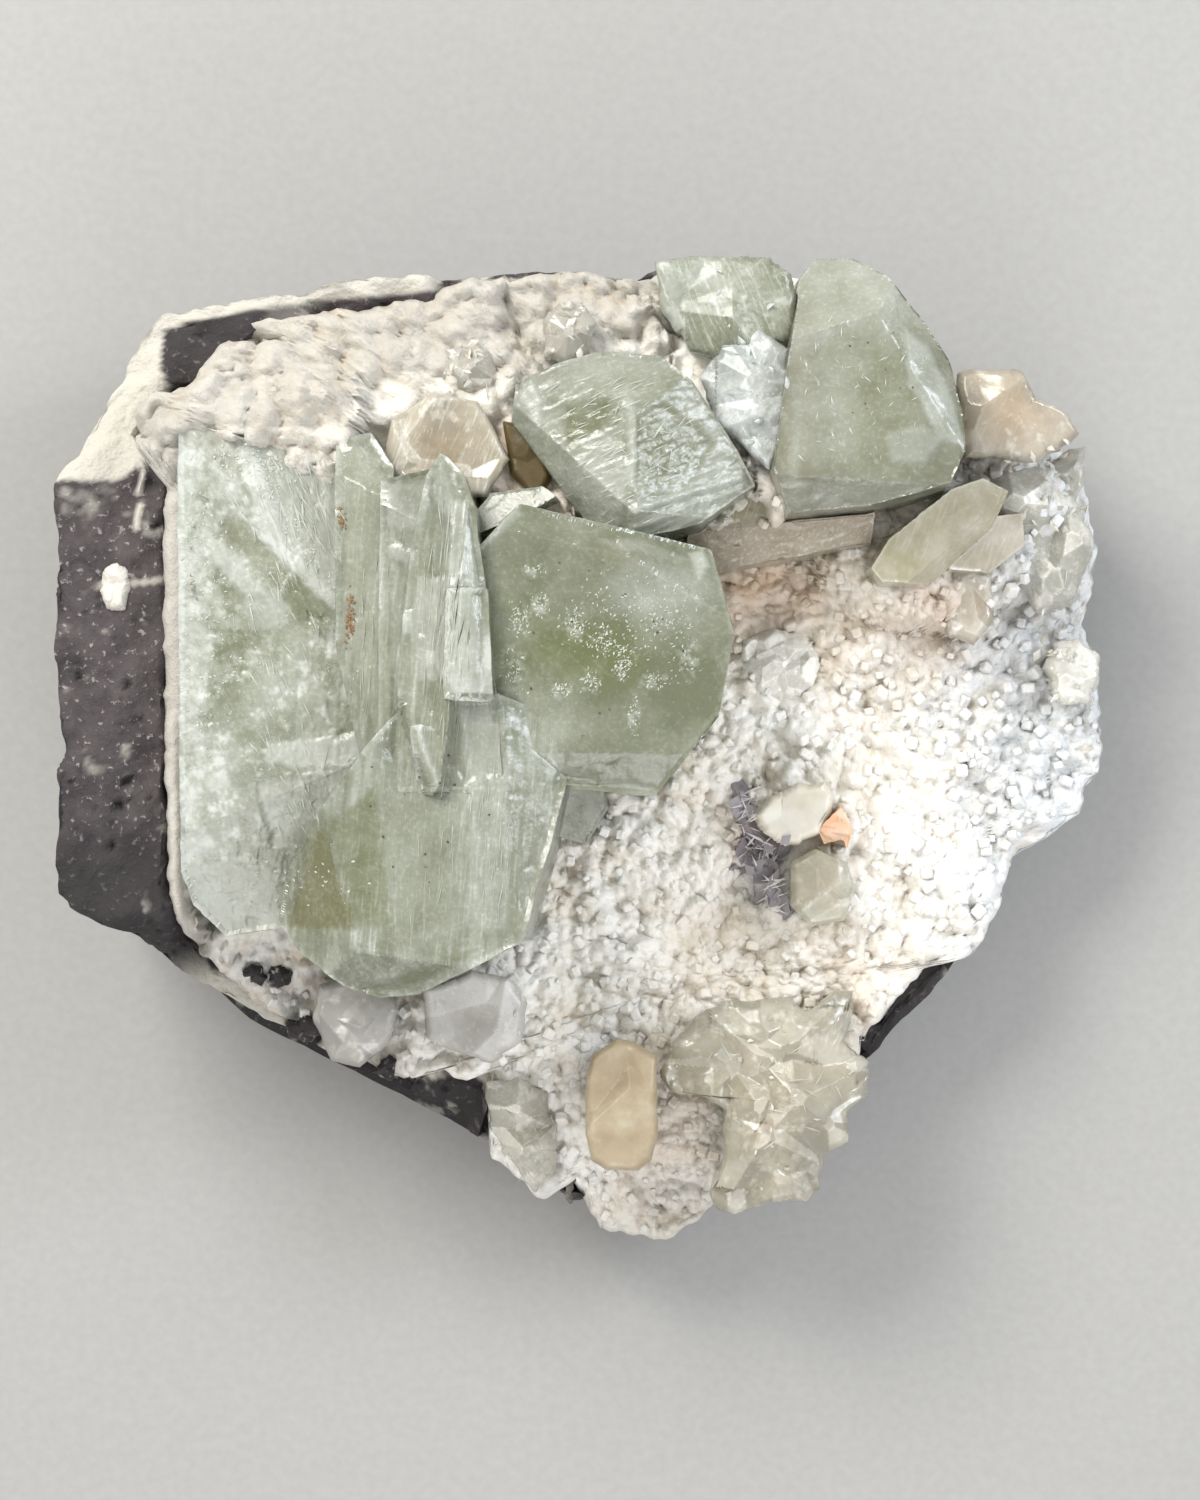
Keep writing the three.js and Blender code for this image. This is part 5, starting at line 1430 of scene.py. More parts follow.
# painted shade: a dark olive-brown piece fills the deep gap beside the upper crystal, its olive colour and
# the gap's shade painted together
OLIVE_GAP_SHADE = waxy_material("olive_gap_shade", ["#43371E", "#4D4023", "#5A4D2E"], 0.1)
PALE = waxy_material("stilbite_pale", ["#C9C1AD", "#D3CDBF", "#DCD8CE"], 0.3)
DARK = waxy_material("zeolite_dark", ["#6E676B", "#8B8488", "#B1ABAE"], 0.0)
ORANGE = waxy_material("zeolite_orange", ["#CF976B", "#DBAB85", "#E6C6AE"], 0.3)
print("made the materials", [made.name for made in (PEACH, OLIVE_GAP_SHADE, PALE, DARK, ORANGE)])

# %% [markdown]
# ### Banks of intergrown crystals
#
# Most of the small crystals grew into one another, and only their tips stand out of a cloudy mass. Such a
# bank is made like the druse, as a closed skin of rings round a middle, but its top is a heap of roofs: each
# cell of a grid holds a crystal of six sloping faces and a tilted cap, and the highest one shows.

# %% Roofs
SLOPES = 6  # sloping faces of a crystal
CAP = SLOPES  # the number of its cap, after those of its slopes


def roofs(x, y, width, seed, base, steep, flat):
    """The top of a heap of six-sided crystals: min(cap, top - max of s (d . p)) over the slopes s of six
    directions d, and the highest crystal at each place; `flat` is how far the cap cuts the tip off, as a
    share of the width. Also how near each place lies to an edge, and a random number for each face."""
    best, second = np.full_like(x, NOTHING), np.full_like(x, NOTHING)
    edge, face = np.zeros_like(x), np.zeros_like(x)
    for cell, at in neighbour_cells(x, y, width, seed, 0.8):
        px, py = x - at[:, 0], y - at[:, 1]
        turn = 2 * np.pi * hashed(cell, seed + 3)
        slopes = np.zeros((SLOPES, len(x)))
        for k in range(SLOPES):
            way = turn + k * 2 * np.pi / SLOPES
            slopes[k] = (steep * (0.55 + 0.9 * hashed(cell, seed + 10 + k))
                         * (px * np.cos(way) + py * np.sin(way)))
        top = base(*at.T) + width * (0.35 + 0.35 * hashed(cell, seed + 4))
        east, north = (0.4 * (hashed(cell, seed + i) - 0.5) for i in (5, 6))
        cap = top - flat * width + east * px + north * py
        roof = top - slopes.max(axis=0)
        high = np.minimum(roof, cap)
        number = np.where(roof < cap, slopes.argmax(axis=0), CAP)
        wins = high > best
        second = np.maximum(second, np.minimum(best, high))
        edge = np.where(wins, fall(np.abs(roof - cap), 0.0, 0.03 * width), edge)
        face = np.where(wins, hashed(cell + np.stack([number, 0 * number, 0 * number + 7], -1), seed + 8),
                        face)
        best = np.maximum(best, high)
    return best, np.maximum(edge, 0.6 * fall(best - second, 0.0, 0.03 * width)), face


# %% A bank of crystals
BANK_SIDES = 7.0  # how far the sides of a bank go down into the druse, mm
BANK_LEAN = 0.12  # how far its foot is drawn in, as a share of its reach
BANK_ROUND = 1.2  # how far its rim bends down, mm
SIDE_LOOPS = 12  # rings down its sides
STEPS = 24  # places on each side of its outline
BANK_CREASE = 28  # its edges sharper than this stay sharp, degrees


def bank(name, nodes, outline, level, rise, tilt, width, steep, flat, material, slot, looks, jag, seed):
    """A bank of crystals inside an outline seen from above, round its middle: `level` is the height of its
    rim and `rise` how much higher its middle is, `tilt` its slope east and north, `width`, `steep` and `flat`
    the size and slope of its crystals and their caps, `jag` the depth of the notches in its rim, all in mm;
    `looks` is its milk, tone, tan and silk. One of basalt follows the druse."""
    corners = np.array(outline)
    centre = corners.mean(axis=0)
    steps = np.linspace(0, 1, STEPS, endpoint=False)[:, None, None]
    around = (corners + steps * (np.roll(corners, -1, axis=0) - corners)).reshape(-1, 2) - centre
    far, way = np.hypot(*around.T), bearing(*around.T)
    order = np.argsort(way)
    reach_at = lambda degrees: np.interp(degrees, way[order], far[order], period=360)

    def base(px, py):
        if material == BASALT:
            return druse_height(px, py) + rise
        dx, dy = px - centre[0], py - centre[1]
        share = np.hypot(dx, dy) / reach_at(bearing(dx, dy))
        return level + rise * np.clip(1 - share**2, -0.5, 1) + tilt[0] * dx + tilt[1] * dy

    size = far.mean()
    spokes, rings = int(np.clip(26 * size, 150, 300)), int(np.clip(6 * size, 32, 66))
    degrees = np.arange(spokes) * 360 / spokes
    across = directions(degrees)
    reach = reach_at(degrees)
    rim = across * reach[:, None] + [*centre, 0]
    reach = reach + (0.35 if jag > 0.5 else 0.1) * fractal(rim, 2.0, seed, fade=0.7)
    near, _, number = scattered(rim, 2.6, seed + 9)
    reach = reach - jag * (number - 0.3) * (1 - near)
    share = np.linspace(0.03, 1, rings)[:, None]
    x, y = (centre[i] + share * reach * across[:, i] for i in (0, 1))
    spot = (x.ravel(), y.ravel())
    top, edge, face = roofs(*spot, width, seed, base, steep, flat)
    small, small_edge, small_face = roofs(*spot, 0.42 * width, seed + 40, lambda px, py: 0 * px, steep, flat)
    patch = ease(fractal(in_plan(*spot), 1.2 * width, seed + 3), -0.1, 0.3)
    z = (top + 0.25 * patch * small).reshape(x.shape)
    inward = np.clip(1 - (1 - share) * reach / 1.0, 0, 1)
    z = z - BANK_ROUND * (1 - np.sqrt(1 - inward**2))
    low = base(x[-1], y[-1]) - BANK_SIDES
    drawn_in = [v[-1] + BANK_LEAN * (middle - v[-1]) for v, middle in zip((x, y), centre)]
    rim, foot = np.stack([x[-1], y[-1], z[-1]], -1), np.stack([*drawn_in, low], -1)
    down = [rim + t * (foot - rim) for t in np.linspace(0.08, 1, SIDE_LOOPS)]
    loops = np.concatenate([np.stack([x, y, z], -1), np.array(down)])
    points = np.concatenate([[[*centre, z[0].mean()]], loops.reshape(-1, 3), [[*centre, low.mean()]]])
    faces = grid_faces(len(loops), spokes, 0, len(points) - 1)
    below = np.zeros(SIDE_LOOPS * spokes + 1)
    cloud = fractal(points, 3.5, seed + 7)
    wisps = ease(fractal(points, 1.6, seed + 6, fade=0.75), 0.15, 0.5)
    edges = np.concatenate([[0], np.maximum(edge, 0.7 * small_edge * patch), below])
    # painted shade: each face of each small crystal is painted a little lighter or darker at random, as faces
    # at different tilts catch the light differently
    mixed = 0.6 * face + 0.4 * np.where(patch > 0.3, small_face, face)
    facets = np.concatenate([[0.5], mixed, below + 0.5]) - 0.5
    inner = np.concatenate([[0], np.repeat(np.linspace(0.03, 1, rings), spokes), below + 1])
    # painted highlight: the crystals' edges are painted milky, most on clear ones
    values = [
        looks[0] + 0.3 * cloud + (0.35 if material == CLEAR else 0.12) * edges + 0.55 * facets + 0.35 * wisps,
        looks[1] + 0.3 * cloud,
        looks[2] * (1.3 - inner) + 0.3 * cloud * (looks[2] > 0),
        0 * cloud + looks[3],
    ]
    paints = {key: np.clip(value, 0, 1) for key, value in zip(PAINTS, values)}
    # on the white amygdale, painted shade along the edges, and the whole is greyed
    if material == DRUSE:
        paints = {"crevice": 0.5 * np.clip(edges, 0, 1), "dull": 0 * cloud + 0.6}
    # the rock windows are darkened through the pit attribute: painted shade
    if material == BASALT:
        paints = {"pit": 0.5 + 0.4 * cloud, "chalk": 0.6 * ease(wisps, 0.5, 1.0)}
    tops[name] = points[1 : 1 + rings * spokes]
    add_piece(name, points, faces, material, slot, replaces=nodes, crease=BANK_CREASE, **paints)


# %% The banks
# what every spot of bare rock in the druse has in common: tilt to looks in the table below
ROCK = ((0, 0), 1.6, 0.5, 0.1, BASALT, "basalt", (0, 0, 0, 0))
# name, nodes, outline, rim level, rise, tilt, crystal width, steepness, flatness, material, slot, looks, jag
BANKS = [
    ("cluster_low_right", ["blade_cluster", "clear_low_a", "clear_low_b"],
     [(14.1, -28.9), (11.7, -30), (8.4, -33.5), (6.6, -37), (8, -39.2), (11.8, -39.7), (14, -41.5),
      (14.3, -44.6), (13.7, -48.4), (12.8, -50.7), (14.1, -54.1), (16.8, -54.4), (19.8, -52.4),
      (23.7, -52.3), (25.4, -50.8), (26.2, -46.9), (28.6, -45.2), (28.9, -41.5), (31.2, -39.7),
      (32.4, -37.4), (31.2, -36.4), (28.4, -33.2), (29.3, -27.8), (27.5, -27.5), (25.2, -28.9),
      (20.6, -28.4), (17.2, -28.6)],
     22, 6, (0, 0.08), 4.2, 0.7, 0.12, CLOUDY, "clear_crystal", (0.22, 0.15, 0.3, 0.2), 2),
    ("stilbite_right_sheaf", ["stilbite_right"],
     [(40.4, 42.9), (44, 43.4), (47.5, 42.9), (49.4, 39.9), (52.9, 38.1), (54.4, 35.9), (53.7, 34.8),
      (49.4, 32.6), (41.2, 33.2), (40.4, 35.9)],
     27.5, 2.4, (-0.12, 0.05), 10, 0.4, 0.3, CLOUDY, "stilbite_cream", (0.05, 0, 0.9, 0.3), 0.6),
    ("clear_bank_right", ["clear_right_a", "clear_right_b"],
     [(51.7, 33.1), (54.4, 35), (56.3, 35.3), (56, 31.2), (55.2, 28.8), (57.2, 25.2), (57.1, 22.5),
      (54.7, 16.5), (50.6, 15.8), (47, 22), (45.7, 26.8), (42.8, 29.7), (41.5, 33.1), (45.7, 32.5)],
     21.5, 4, (-0.15, 0.25), 4.6, 0.7, 0.15, CLEAR, "clear_crystal", (0.02, 0.05, 0, 0.1), 1),
    ("clear_bank_low", ["clear_low_c"],
     [(-13.3, -38.8), (-9.8, -37.7), (-6, -39.4), (-5.1, -44), (-5.1, -49.8), (-7.5, -52.1), (-10.4, -48.1),
      (-13, -44)],
     18.5, 3, (0, 0.15), 3.4, 0.8, 0.12, CLEAR, "clear_crystal", (0.3, 0.05, 0, 0.2), 1.2),
    ("clear_bank_upper_a", ["clear_upper_a"],
     [(-6.5, 47.8), (-4.5, 50.1), (-1.7, 50.1), (-0.3, 47.3), (-1.1, 43.9), (-3.9, 42.5), (-6.1, 43.9)],
     37.3, 2, (0, 0.1), 2.8, 0.8, 0.12, CLEAR, "clear_crystal", (0, 0.05, 0, 0), 0.7),
    ("clear_bank_upper_b", ["clear_upper_b"],
     [(-18.7, 43.3), (-16.2, 45.2), (-13.4, 45.5), (-11.2, 43.5), (-11.4, 40.7), (-14.5, 39), (-17.8, 39.9)],
     36.8, 1.8, (0, 0), 2.4, 0.8, 0.12, CLEAR, "clear_crystal", (0.05, 0.05, 0.05, 0), 0.8),
    ("stilbite_peach_sheaf", ["stilbite_peach"],
     [(39, 20.1), (41.9, 21.8), (45, 20.1), (45.3, 14.9), (43, 12), (40.1, 13.2), (38.8, 16.6)],
     24.6, 0.8, (0, 0.08), 6, 0.5, 0.35, CLOUDY, "stilbite_peach", (0.4, 0, 1, 0.4), 0.3),
    ("zeolite_glassy_patch", [],
     [(16.5, 12.8), (20.3, 14.2), (25, 12.8), (26.5, 9.9), (23.8, 5.8), (19.2, 6), (16.5, 9.3)],
     19.9, 0.6, (0, 0), 2.6, 0.6, 0.25, CLEAR, "clear_crystal", (0.75, 0.1, 0.2, 0), 1),
    ("apophyllite_edge_bank", ["apophyllite_edge"],
     [(6.1, 54.2), (11.1, 54.9), (18.3, 54.9), (21.4, 53), (21.9, 49.9), (21.4, 45.4), (17.2, 44.4),
      (13.9, 42.9), (10, 44.4), (6.7, 48.8)],
     36.8, 1.2, (0, 0), 9, 0.4, 0.25, CLEAVED, "apophyllite", (0.35, 0.35, 0.05, 0.9), 0.8),
    ("pearly_bank", ["pearly_fragment"],
     [(11, 41.5), (13.7, 45), (17.6, 46.7), (20.9, 44.5), (21.2, 40.6), (20.9, 35.1), (18.7, 30.8),
      (15.9, 33.5), (12.6, 36.2)],
     39.4, 1.6, (0.1, 0), 3.2, 0.6, 0.15, PEARLY, "pearly_crystal", (0.42, 0, 0.05, 0.6), 0.6),
    ("apophyllite_small_bank", ["apophyllite_small"],
     [(21.9, -12.9), (24.8, -11.3), (28.6, -12.9), (29.5, -16.1), (28.2, -19.8), (24.2, -20.3),
      (21.9, -17.9)],
     22.8, 0.8, (0, 0), 8, 0.4, 0.3, CLOUDY, "clear_crystal", (0.4, 0.4, 0.45, 0.1), 0.2),
    ("stilbite_upper_sheaf", ["stilbite_upper"],
     [(-24.4, 29.9), (-23.2, 36.6), (-18.6, 39.6), (-13.4, 38.6), (-9.9, 32.1), (-12.6, 27.9), (-18.7, 27.9)],
     39.4, 1, (0.05, -0.08), 7.5, 0.45, 0.3, CLOUDY, "stilbite_cream", (0.25, 0.15, 0.6, 1), 0.3),
    ("stilbite_low_block", ["stilbite_lower"],
     [(1.8, -32.9), (4, -33.2), (6.5, -34.9), (6.6, -44), (6, -46.8), (4.4, -47.9), (0.8, -47.9),
      (-1, -46.7), (-1.7, -43.6), (-1.6, -37.4), (-1, -34.8)],
     27.2, 0.5, (0, 0), 9, 0.5, 0.35, PEACH, "stilbite_peach", (0.2, 0, 1, 0.2), 0.3),
    ("heulandite_low_a", ["heulandite_a"],
     [(-32.4, -27), (-29.3, -26.2), (-24.7, -27), (-23.2, -29.8), (-24.1, -33.9), (-27.6, -36.5),
      (-31, -35.8), (-33.1, -31)],
     23.4, 0.8, (0, 0.05), 8, 0.35, 0.32, GREY, "grey_crystal", (0.25, 0, 0.05, 0.2), 0.4),
    ("heulandite_low_b", ["heulandite_b"],
     [(-18.2, -26.8), (-14.8, -25.3), (-10.3, -26), (-8.2, -29.1), (-9.1, -33.6), (-12.5, -36),
      (-16.5, -34.8), (-20, -33.1), (-20.5, -27.4)],
     24.4, 1.2, (0.05, 0.05), 9, 0.35, 0.32, GREY, "grey_crystal", (0.75, 0.05, 0.3, 0.1), 0.4),
    ("clear_bank_rim", ["clear_right_c"],
     [(51.5, 9.5), (53, 12.5), (56, 13), (58.5, 11), (58.5, 8), (57, 5.5), (53.5, 5.3)],
     18.3, 1.2, (-0.1, 0), 2.4, 0.6, 0.2, CLEAR, "clear_crystal", (0.6, 0, 0, 0), 1.2),
    ("amygdale_white", ["white_amygdale"],
     [(-56, 17.5), (-55.6, 20.1), (-53.9, 21.3), (-52.4, 20.2), (-51.9, 17.8), (-52.8, 15.4), (-55, 15.3)],
     37.5, 0.8, (0, 0), 1.6, 0.5, 0.2, DRUSE, "druse", (0.5, 0, 0, 0), 1.4),
    ("cream_lozenge_soft", ["cream_lozenge"],
     [(18.8, -9.6), (18, -7.5), (19.7, -5.2), (23, -3.7), (26.2, -3.6), (27, -5.2), (26.6, -7.5),
      (25.4, -9.7), (22.8, -10.8), (20.2, -10.6)],
     22, 1, (0, 0.05), 7, 0.3, 0.4, PALE, "stilbite_cream", (0, 0, 0, 0), 1),
    ("rock_window_a", [], [(-41.2, -25.3), (-40.2, -24.4), (-39, -24.9), (-38.4, -26.4), (-39.2, -27.5),
                           (-40.6, -27.2)],
     0, 0, *ROCK, 1.4),
    ("rock_window_d", [], [(-38, -24.9), (-36.2, -24.6), (-35.2, -25.6), (-36, -27.3), (-37.4, -27.8),
                           (-38.3, -26.6)],
     0, 0, *ROCK, 1.4),
    ("rock_window_b", [], [(-36.8, -32), (-34, -30.4), (-31.9, -30.8), (-32.2, -33.4), (-34.6, -34.8),
                           (-36.6, -33.8)],
     0, 0.1, *ROCK, 1.6),
    ("rock_window_c", [], [(-26.9, -37.6), (-24.6, -35.4), (-23.4, -36), (-24.2, -38.6)],
     0, 0.1, *ROCK, 1),
    # a dark olive-brown piece in the deep gap beside the upper crystal: painted shade as well as olive colour
    ("olive_glass", [],
     [(-10.8, 36.5), (-5.9, 35.6), (-5.4, 30), (-7, 27.4), (-10, 30.6)],
     38.5, 0.4, (0.05, 0), 6, 0.3, 0.3, OLIVE_GAP_SHADE, "apophyllite", (0, 1, 0.9, 0), 0.2),
]
for number, row in enumerate(BANKS):
    bank(*row, seed=700 + 60 * number)

# %% [markdown]
# ### The small single crystals
#
# Some small crystals stand free: two flat blades at the right, a glassy one at the foot of the upper wall
# and a grey-brown one at the foot of the block. Their faces are fresh and flat, so they get little relief.

# %% The small single crystals
SINGLE_LOOKS = [  # node, material, slot, milk, tone and tan
    ("blade_long", CLOUDY, "clear_crystal", (0.3, 0.7, 0.3)),
    ("blade_back", CLOUDY, "clear_crystal", (0.5, 0.3, 0.55)),
    ("clear_upper_c", CLEAVED, "clear_crystal", (0.35, 0.3, 0.1)),
    ("clear_middle", CLEAVED, "clear_crystal", (0.5, 0.3, 0.3)),
]
for number, (node, material, slot, base) in enumerate(SINGLE_LOOKS):
    grown(node, node + "_grown", material, slot, 201 + 10 * number, base=base, lines=(0.05, 0.7),
          hills=(0.12, 3.0, 0.06), chips=0.06, silk=0.5, edge=0.3)

# %% [markdown]
# ### The orange grain and the dark blades
#
# They stand side by side in a small cavity in the druse. Both are cloudy and rougher than the clear
# crystals, with lines up their sides.

# %% The orange grain and the dark blades
for node, material, slot, seed, depth in (
    ("orange_grain", ORANGE, "orange_grain", 501, 0.1),
    ("dark_blades", DARK, "dark_crystal", 511, 0.08),
):
    grown(node, node + "_grown", material, slot, seed, lines=(depth, 0.8), hills=(0.3, 4.0, 0.12), chips=0.12)

# %% [markdown]
# ## Small things on the surfaces
#
# What makes the specimen look grown are thousands of small things: white flaws under the faces of the block,
# broken splinters round the clear crystals, needles, thin plates, black specks and rust. They are copies of
# one simple shape, an octahedron, strewn at the height of whatever lies on top at that place.

# %% The height of the top surface
CELL = 0.5  # width of a cell of the height map, mm
HALF_MAP = 62.0  # half the map's width, mm


def height_map():
    """The highest point in each cell of a square grid, over the crystals and the druse. A cell that no
    crystal corner fell in takes its neighbours' height if three of the four are crystal."""
    count = int(2 * HALF_MAP / CELL)
    crystal = np.full((count, count), -9.0)
    for points in tops.values():
        cell = np.clip(((points[:, :2] + HALF_MAP) / CELL).astype(int), 0, count - 1)
        np.maximum.at(crystal, tuple(cell.T), points[:, 2])
    around = np.stack([np.roll(crystal, step, axis) for axis in (0, 1) for step in (-1, 1)])
    crystal = np.where((crystal < 0) & ((around > 0).sum(axis=0) > 2), around.max(axis=0), crystal)
    x, y = np.meshgrid(*2 * [(np.arange(count) + 0.5) * CELL - HALF_MAP], indexing="ij")
    druse = druse_surface(x.ravel(), y.ravel())[0].reshape(x.shape)
    on_druse = np.hypot(x, y) < druse_rim(bearing(x, y)) - 0.5
    return np.maximum(crystal, np.where(on_druse, druse, -9.0))


TOP = height_map()
print("height map of", TOP.size, "cells, highest", TOP.max().round(1), "mm")


def top_at(x, y):
    """Height of the top surface at each place."""
    cell = [np.clip(((v + HALF_MAP) / CELL).astype(int), 0, len(TOP) - 1) for v in (x, y)]
    return TOP[cell[0], cell[1]]


# %% Copies of a spindle
SPINDLE = (  # an octahedron: stretched, it is a needle, a lozenge or a scale
    np.array([(1, 0, 0), (-1, 0, 0), (0, 1, 0), (0, -1, 0), (0, 0, 1), (0, 0, -1)], dtype=float),
    np.array([(0, 2, 4), (2, 1, 4), (1, 3, 4), (3, 0, 4), (2, 0, 5), (1, 2, 5), (3, 1, 5), (0, 3, 5)]),
)


def strew(name, seed, spots, material, slot, lengths, widths, thickness, lean, heading=None, sunk=0.3,
          looks=(0.5, 0.1, 0.1)):
    """Copies of the spindle strewn over spots (x, y, spread along x and y, how many). Lengths are a range in
    mm, widths and thicknesses ranges of shares of the length; `heading` is a direction and its scatter;
    `lean` is the largest lean in degrees; each copy sinks in by a share of its height."""
    source = np.random.default_rng(seed)
    spread = np.concatenate([np.tile(spot[:4], (spot[4], 1)) for spot in spots])
    count = len(spread)
    x, y = (spread[:, i] + spread[:, i + 2] * np.clip(source.normal(0, 0.5, count), -1, 1) for i in (0, 1))
    length = source.uniform(*lengths, count)
    width, height = (length * source.uniform(*span, count) for span in (widths, thickness))
    size = np.stack([length, width, height], -1) / 2
    if heading is None:
        way = source.uniform(0, 360, count)
    else:
        way = heading[0] + heading[1] * source.normal(0, 1, count)
    turned = turns(way, source.uniform(0, lean, count), source.uniform(0, 360, count) + 90)
    tall = np.abs(turned[:, 2] * size).sum(axis=1)
    beside = ((0, 0), (1, 0), (-1, 0), (0, 1), (0, -1))
    kept = np.min([top_at(x + dx, y + dy) for dx, dy in beside], axis=0) > 0
    x, y, size, turned, tall = (v[kept] for v in (x, y, size, turned, tall))
    count = len(x)
    z = top_at(x, y) + tall * (1 - 2 * sunk)
    points, faces = heap(SPINDLE, np.stack([x, y, z], -1), size, turned)
    each = len(SPINDLE[0])
    values = [np.repeat(np.clip(value + source.normal(0, 0.12, count), 0, 1), each) for value in looks]
    paints = dict(zip(PAINTS, [*values, np.zeros(len(points))]))
    add_piece(name, points, faces, material, slot, **paints)


# %% Plain materials for the smallest things


def plain_material(name, colour, roughness):
    """A plain surface of one colour."""
    made, tree = new_material(name)
    shader = add_node(tree, "BsdfPrincipled", {"Base Color": colour, "Roughness": roughness, "IOR": 1.5})
    add_node(tree, "OutputMaterial", {}, {"Surface": shader})
    return made


# a gas-filled flaw just under a face: white and bright; the same white also draws streaks that stand partly
# for painted glints
FLAW_AND_GLINT = plain_material("apophyllite_flaw_and_glint", "#A9ADA2", 0.3)
SPECK = plain_material("iron_speck", "#3A3129", 0.7)  # a grain of iron oxide on the face: dull brown-black

# %% Splinters round the clear crystals
SPLINTERS = [  # name, material, slot, spots, lengths, looks
    ("splinters_low_right", CLEAR, "clear_crystal", [(20, -38, 11, 9, 14), (20, -49, 5, 4, 6)], (0.6, 1.6),
     (0.25, 0.1, 0.15)),
    ("splinters_right", CLEAR, "clear_crystal", [(51, 28, 6, 7, 20), (54, 10, 5, 6, 20)], (0.8, 2.4),
     (0.4, 0.05, 0)),
    ("splinters_pearly", PEARLY, "pearly_crystal", [(17, 40, 4, 7, 10), (13, 49, 6, 4, 6)], (0.7, 2.2),
     (0.6, 0.05, 0)),
    ("splinters_small", CLEAR, "clear_crystal", [(-14, 43, 5, 3, 16), (-4, 47, 3, 3, 10), (0, -25, 9, 5, 14),
                                                 (-8, -34, 8, 5, 14)], (0.6, 1.8), (0.4, 0.05, 0.1)),
]
for number, (name, material, slot, spots, lengths, looks) in enumerate(SPLINTERS):
    strew(name, 600 + number, spots, material, slot, lengths, (0.3, 0.6), (0.1, 0.2), 60, sunk=0.5,
          looks=looks)
NEEDLES = [(20, -37, 12, 10, 46), (-8, -44, 4, 6, 14), (52, 24, 6, 10, 26), (28, -12, 5, 9, 14),
           (4, 33, 8, 6, 20), (-14, 44, 7, 4, 14)]
strew("needles", 620, NEEDLES, FLAW_AND_GLINT, "clear_crystal", (0.8, 3.2), (0.04, 0.08), (0.04, 0.08), 35, sunk=0.35)

# %% [markdown]
# ### Plates in the small cavity
#
# Thin lilac-grey plates line the cavity and stand at all angles, and their edges catch the light. Flat
# octahedra stand for the plates, and thin white ones among them for the edges.

# %% Plates in the small cavity
# thin plates stained by manganese: lilac-grey and glassy
PLATE = plain_material("zeolite_plate", "#958F93", 0.25)
# painted highlight: thin white plates for the plates' edges, where they catch the light
PLATE_EDGE_HIGHLIGHT = plain_material("zeolite_plate_edge_highlight", "#D8D4D4", 0.3)
# where they stand: x, y, spread along both, in mm, and how many
CAVITY = [(17.0, -6.8, 1.8, 2.4, 22), (18.6, -12.2, 2.8, 2.0, 34), (20.3, -17.0, 1.3, 2.8, 20)]
for name, seed, material, share, widths, way in (
    ("cavity_plates", 660, PLATE, 0.5, (0.4, 0.8), None),
    ("cavity_edge_highlights", 661, PLATE_EDGE_HIGHLIGHT, 1.6, (0.05, 0.11), (25, 40)),
):
    spots = [(x, y, rx, ry, int(share * many)) for x, y, rx, ry, many in CAVITY]
    strew(name, seed, spots, material, "dark_crystal", (1.4, 3.8), widths, (0.02, 0.05), 60, way, 0.4)

# %% Flaws in the faces
strew("block_feathers", 631, FEATHERS, FLAW_AND_GLINT, "apophyllite", (0.12, 0.5), (0.15, 0.5), (0.02, 0.05), 3,
      (52, 40), 0.1)
# white streaks along the faces: partly real striations, partly painted glints along the ridges of the prism
# and painted sheen on the fan of the cleaved crystal
STREAKS_AND_GLINTS = [  # name, heading, scatter, lengths, widths, spots
    ("streaks_and_glints_prism", 85, 4, (0.8, 4.0), (0.015, 0.035), [(-16.5, 14, 2.4, 12, 130), (-18, -12, 6, 8, 22),
                                                            (-12, -10, 2, 8, 40), (-25, 12, 2, 14, 24)]),
    ("streaks_and_sheen_cleaved", 112, 12, (0.6, 3.0), (0.03, 0.07), [(-34, 25, 6, 8, 90), (-32.5, 27, 3, 8, 150),
                                                              (-33, -4, 4, 5, 60), (-35, 10, 7, 10, 70)]),
    ("scratches_upper", 24, 8, (0.6, 3.0), (0.03, 0.06), [(4, 31, 9, 6, 90), (1, 39, 6, 3, 40)]),
    ("scratches_right", 70, 40, (0.2, 1.4), (0.05, 0.15), [(29, 40, 7, 10, 60)]),
]
for number, (name, way, scatter, lengths, widths, spots) in enumerate(STREAKS_AND_GLINTS):
    strew(name, 641 + number, spots, FLAW_AND_GLINT, "apophyllite", lengths, widths, (0.02, 0.04), 3, (way, scatter),
          0.1)
FROST = [  # white flakes where the skin of the cleaved crystal frays
    (-38.5, 33, 1.2, 1.5, 60), (-36.5, 29, 1.2, 1.8, 60), (-34, 25, 1.2, 1.8, 50), (-31.5, 21, 1, 1.8, 50),
    (-29.5, 18, 0.8, 1.5, 40), (-43, 12, 2.5, 24, 240), (-29, 7, 4, 3, 40), (-35, -14, 10, 4, 60),
    (-37, 8, 6, 12, 60), (-37, 31.5, 9, 2, 220), (-45, 20, 1.5, 12, 120),
]
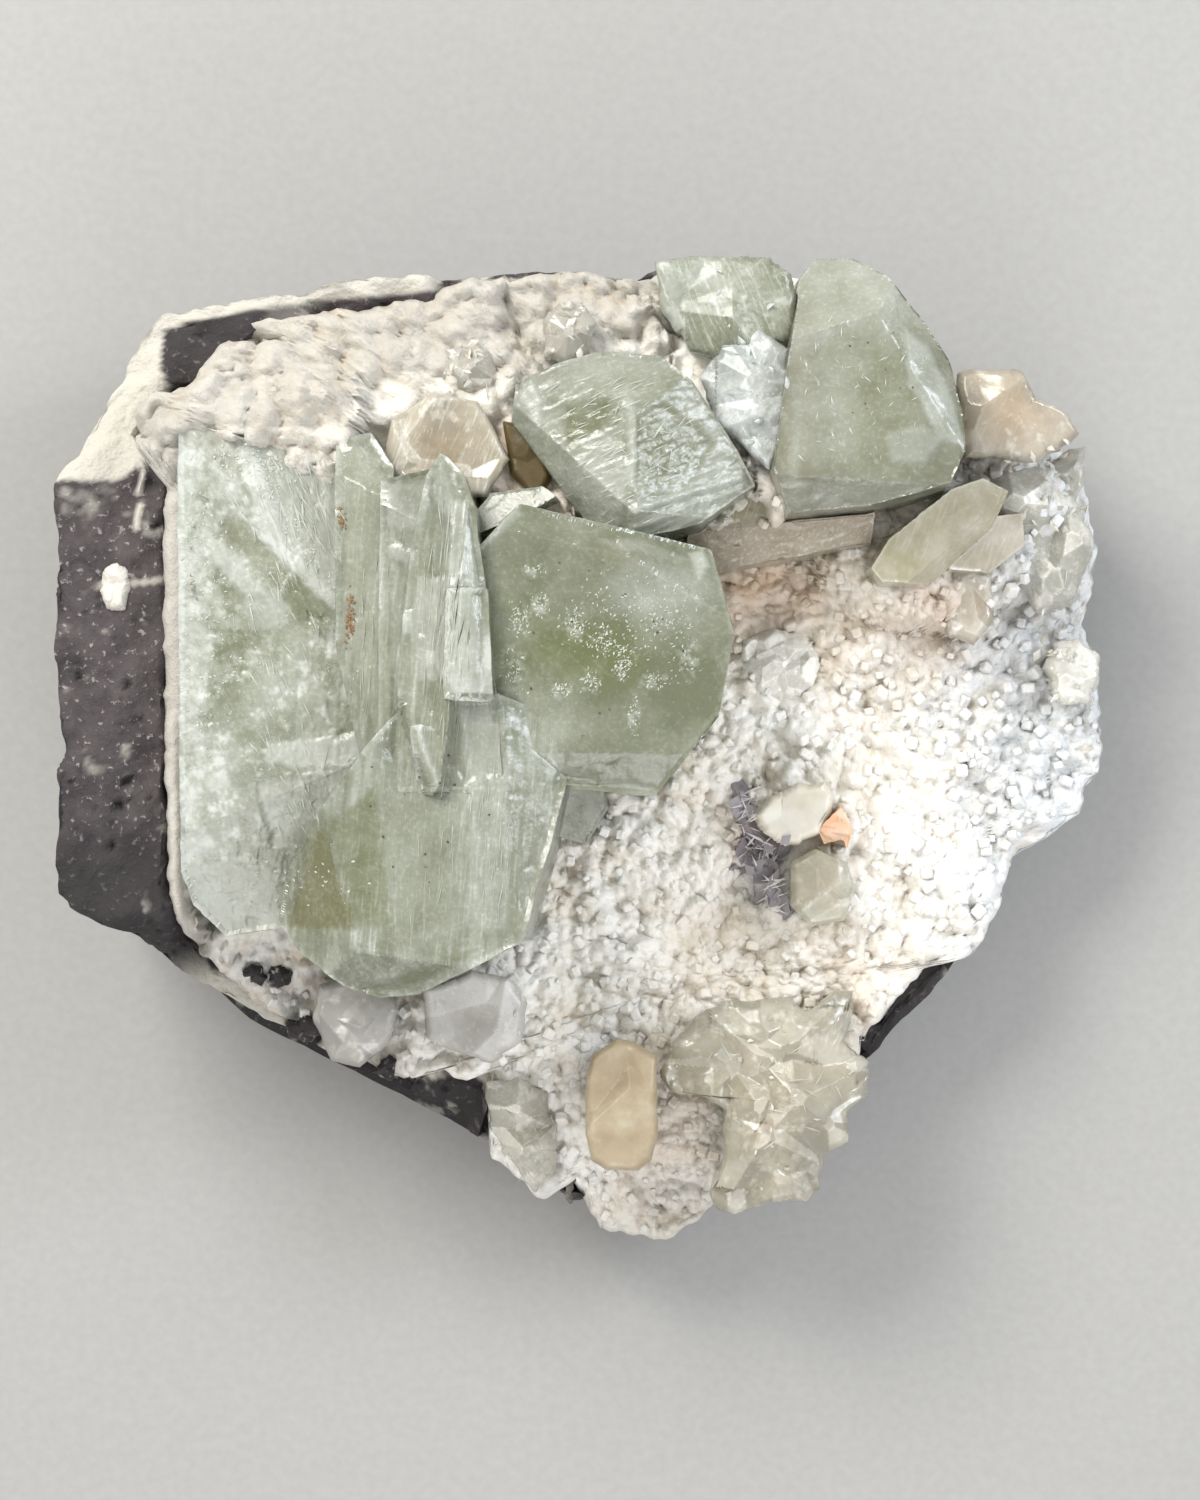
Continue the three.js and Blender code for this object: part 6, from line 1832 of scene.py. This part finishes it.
strew("cleaved_frost", 650, FROST, FLAW_AND_GLINT, "apophyllite_cleaved", (0.12, 0.5), (0.2, 0.6), (0.03, 0.08), 8,
      sunk=0.3)

# %% Specks and rust
SPECKS = [(2.7, 16.9, 0.3, 0.3, 2), (-0.9, 19.4, 0.3, 0.3, 1), (-4.4, 20.2, 0.3, 0.3, 1), (0, 8, 9, 10, 14),
          (-20, -6, 8, 12, 18), (30, 42, 6, 10, 10)]
strew("iron_specks", 633, SPECKS, SPECK, "dark_crystal", (0.15, 0.4), (0.5, 0.9), (0.2, 0.4), 10, sunk=0.3)
RUST = [(-28.3, 25.0, 0.5, 1.4, 34), (-27.3, 14.5, 0.5, 3.4, 46)]
# iron oxide in the seam between two crystals: brown, dull
RUSTY = plain_material("iron_rust", "#7A5C3C", 0.7)
strew("rust_grains", 634, RUST, RUSTY, "dark_crystal", (0.15, 0.6), (0.4, 0.9), (0.2, 0.5), 30, sunk=0.3)

# %% [markdown]
# ## The ground it lies on
#
# A sheet of pale matt paper. It throws light back up into the sides of the clear crystals, and its shadow
# shows how thick the slab is.

# %% Floor


def floor_material():
    """A matt pale paper ground."""
    made, tree = new_material("paper_pale")
    place = add_node(tree, "TexCoord").outputs["Object"]
    tooth = add_node(tree, "TexNoise", {"Scale": 900, "Detail": 4}, {"Vector": place})
    shade = add_node(tree, "ValToRGB", {"stops": [(0.3, "#939290"), (0.7, "#989795")]}, {"Fac": tooth})
    shader = add_node(tree, "BsdfPrincipled", {"Roughness": 0.8}, {"Base Color": shade})
    add_node(tree, "OutputMaterial", {}, {"Surface": shader})
    return made


FLOOR_HALF = 1.5  # half the floor's width, metres
FLOOR_DROP = 0.0002  # the floor lies this far below the base, so that the two faces don't fight, metres
floor_mesh = bpy.data.meshes.new("floor")
floor_mesh.from_pydata(
    [(x * FLOOR_HALF, y * FLOOR_HALF, -FLOOR_DROP) for x, y in ((-1, -1), (1, -1), (1, 1), (-1, 1))], [],
    [(0, 1, 2, 3)]
)
floor_mesh.materials.append(floor_material())
add_object("floor", floor_mesh)
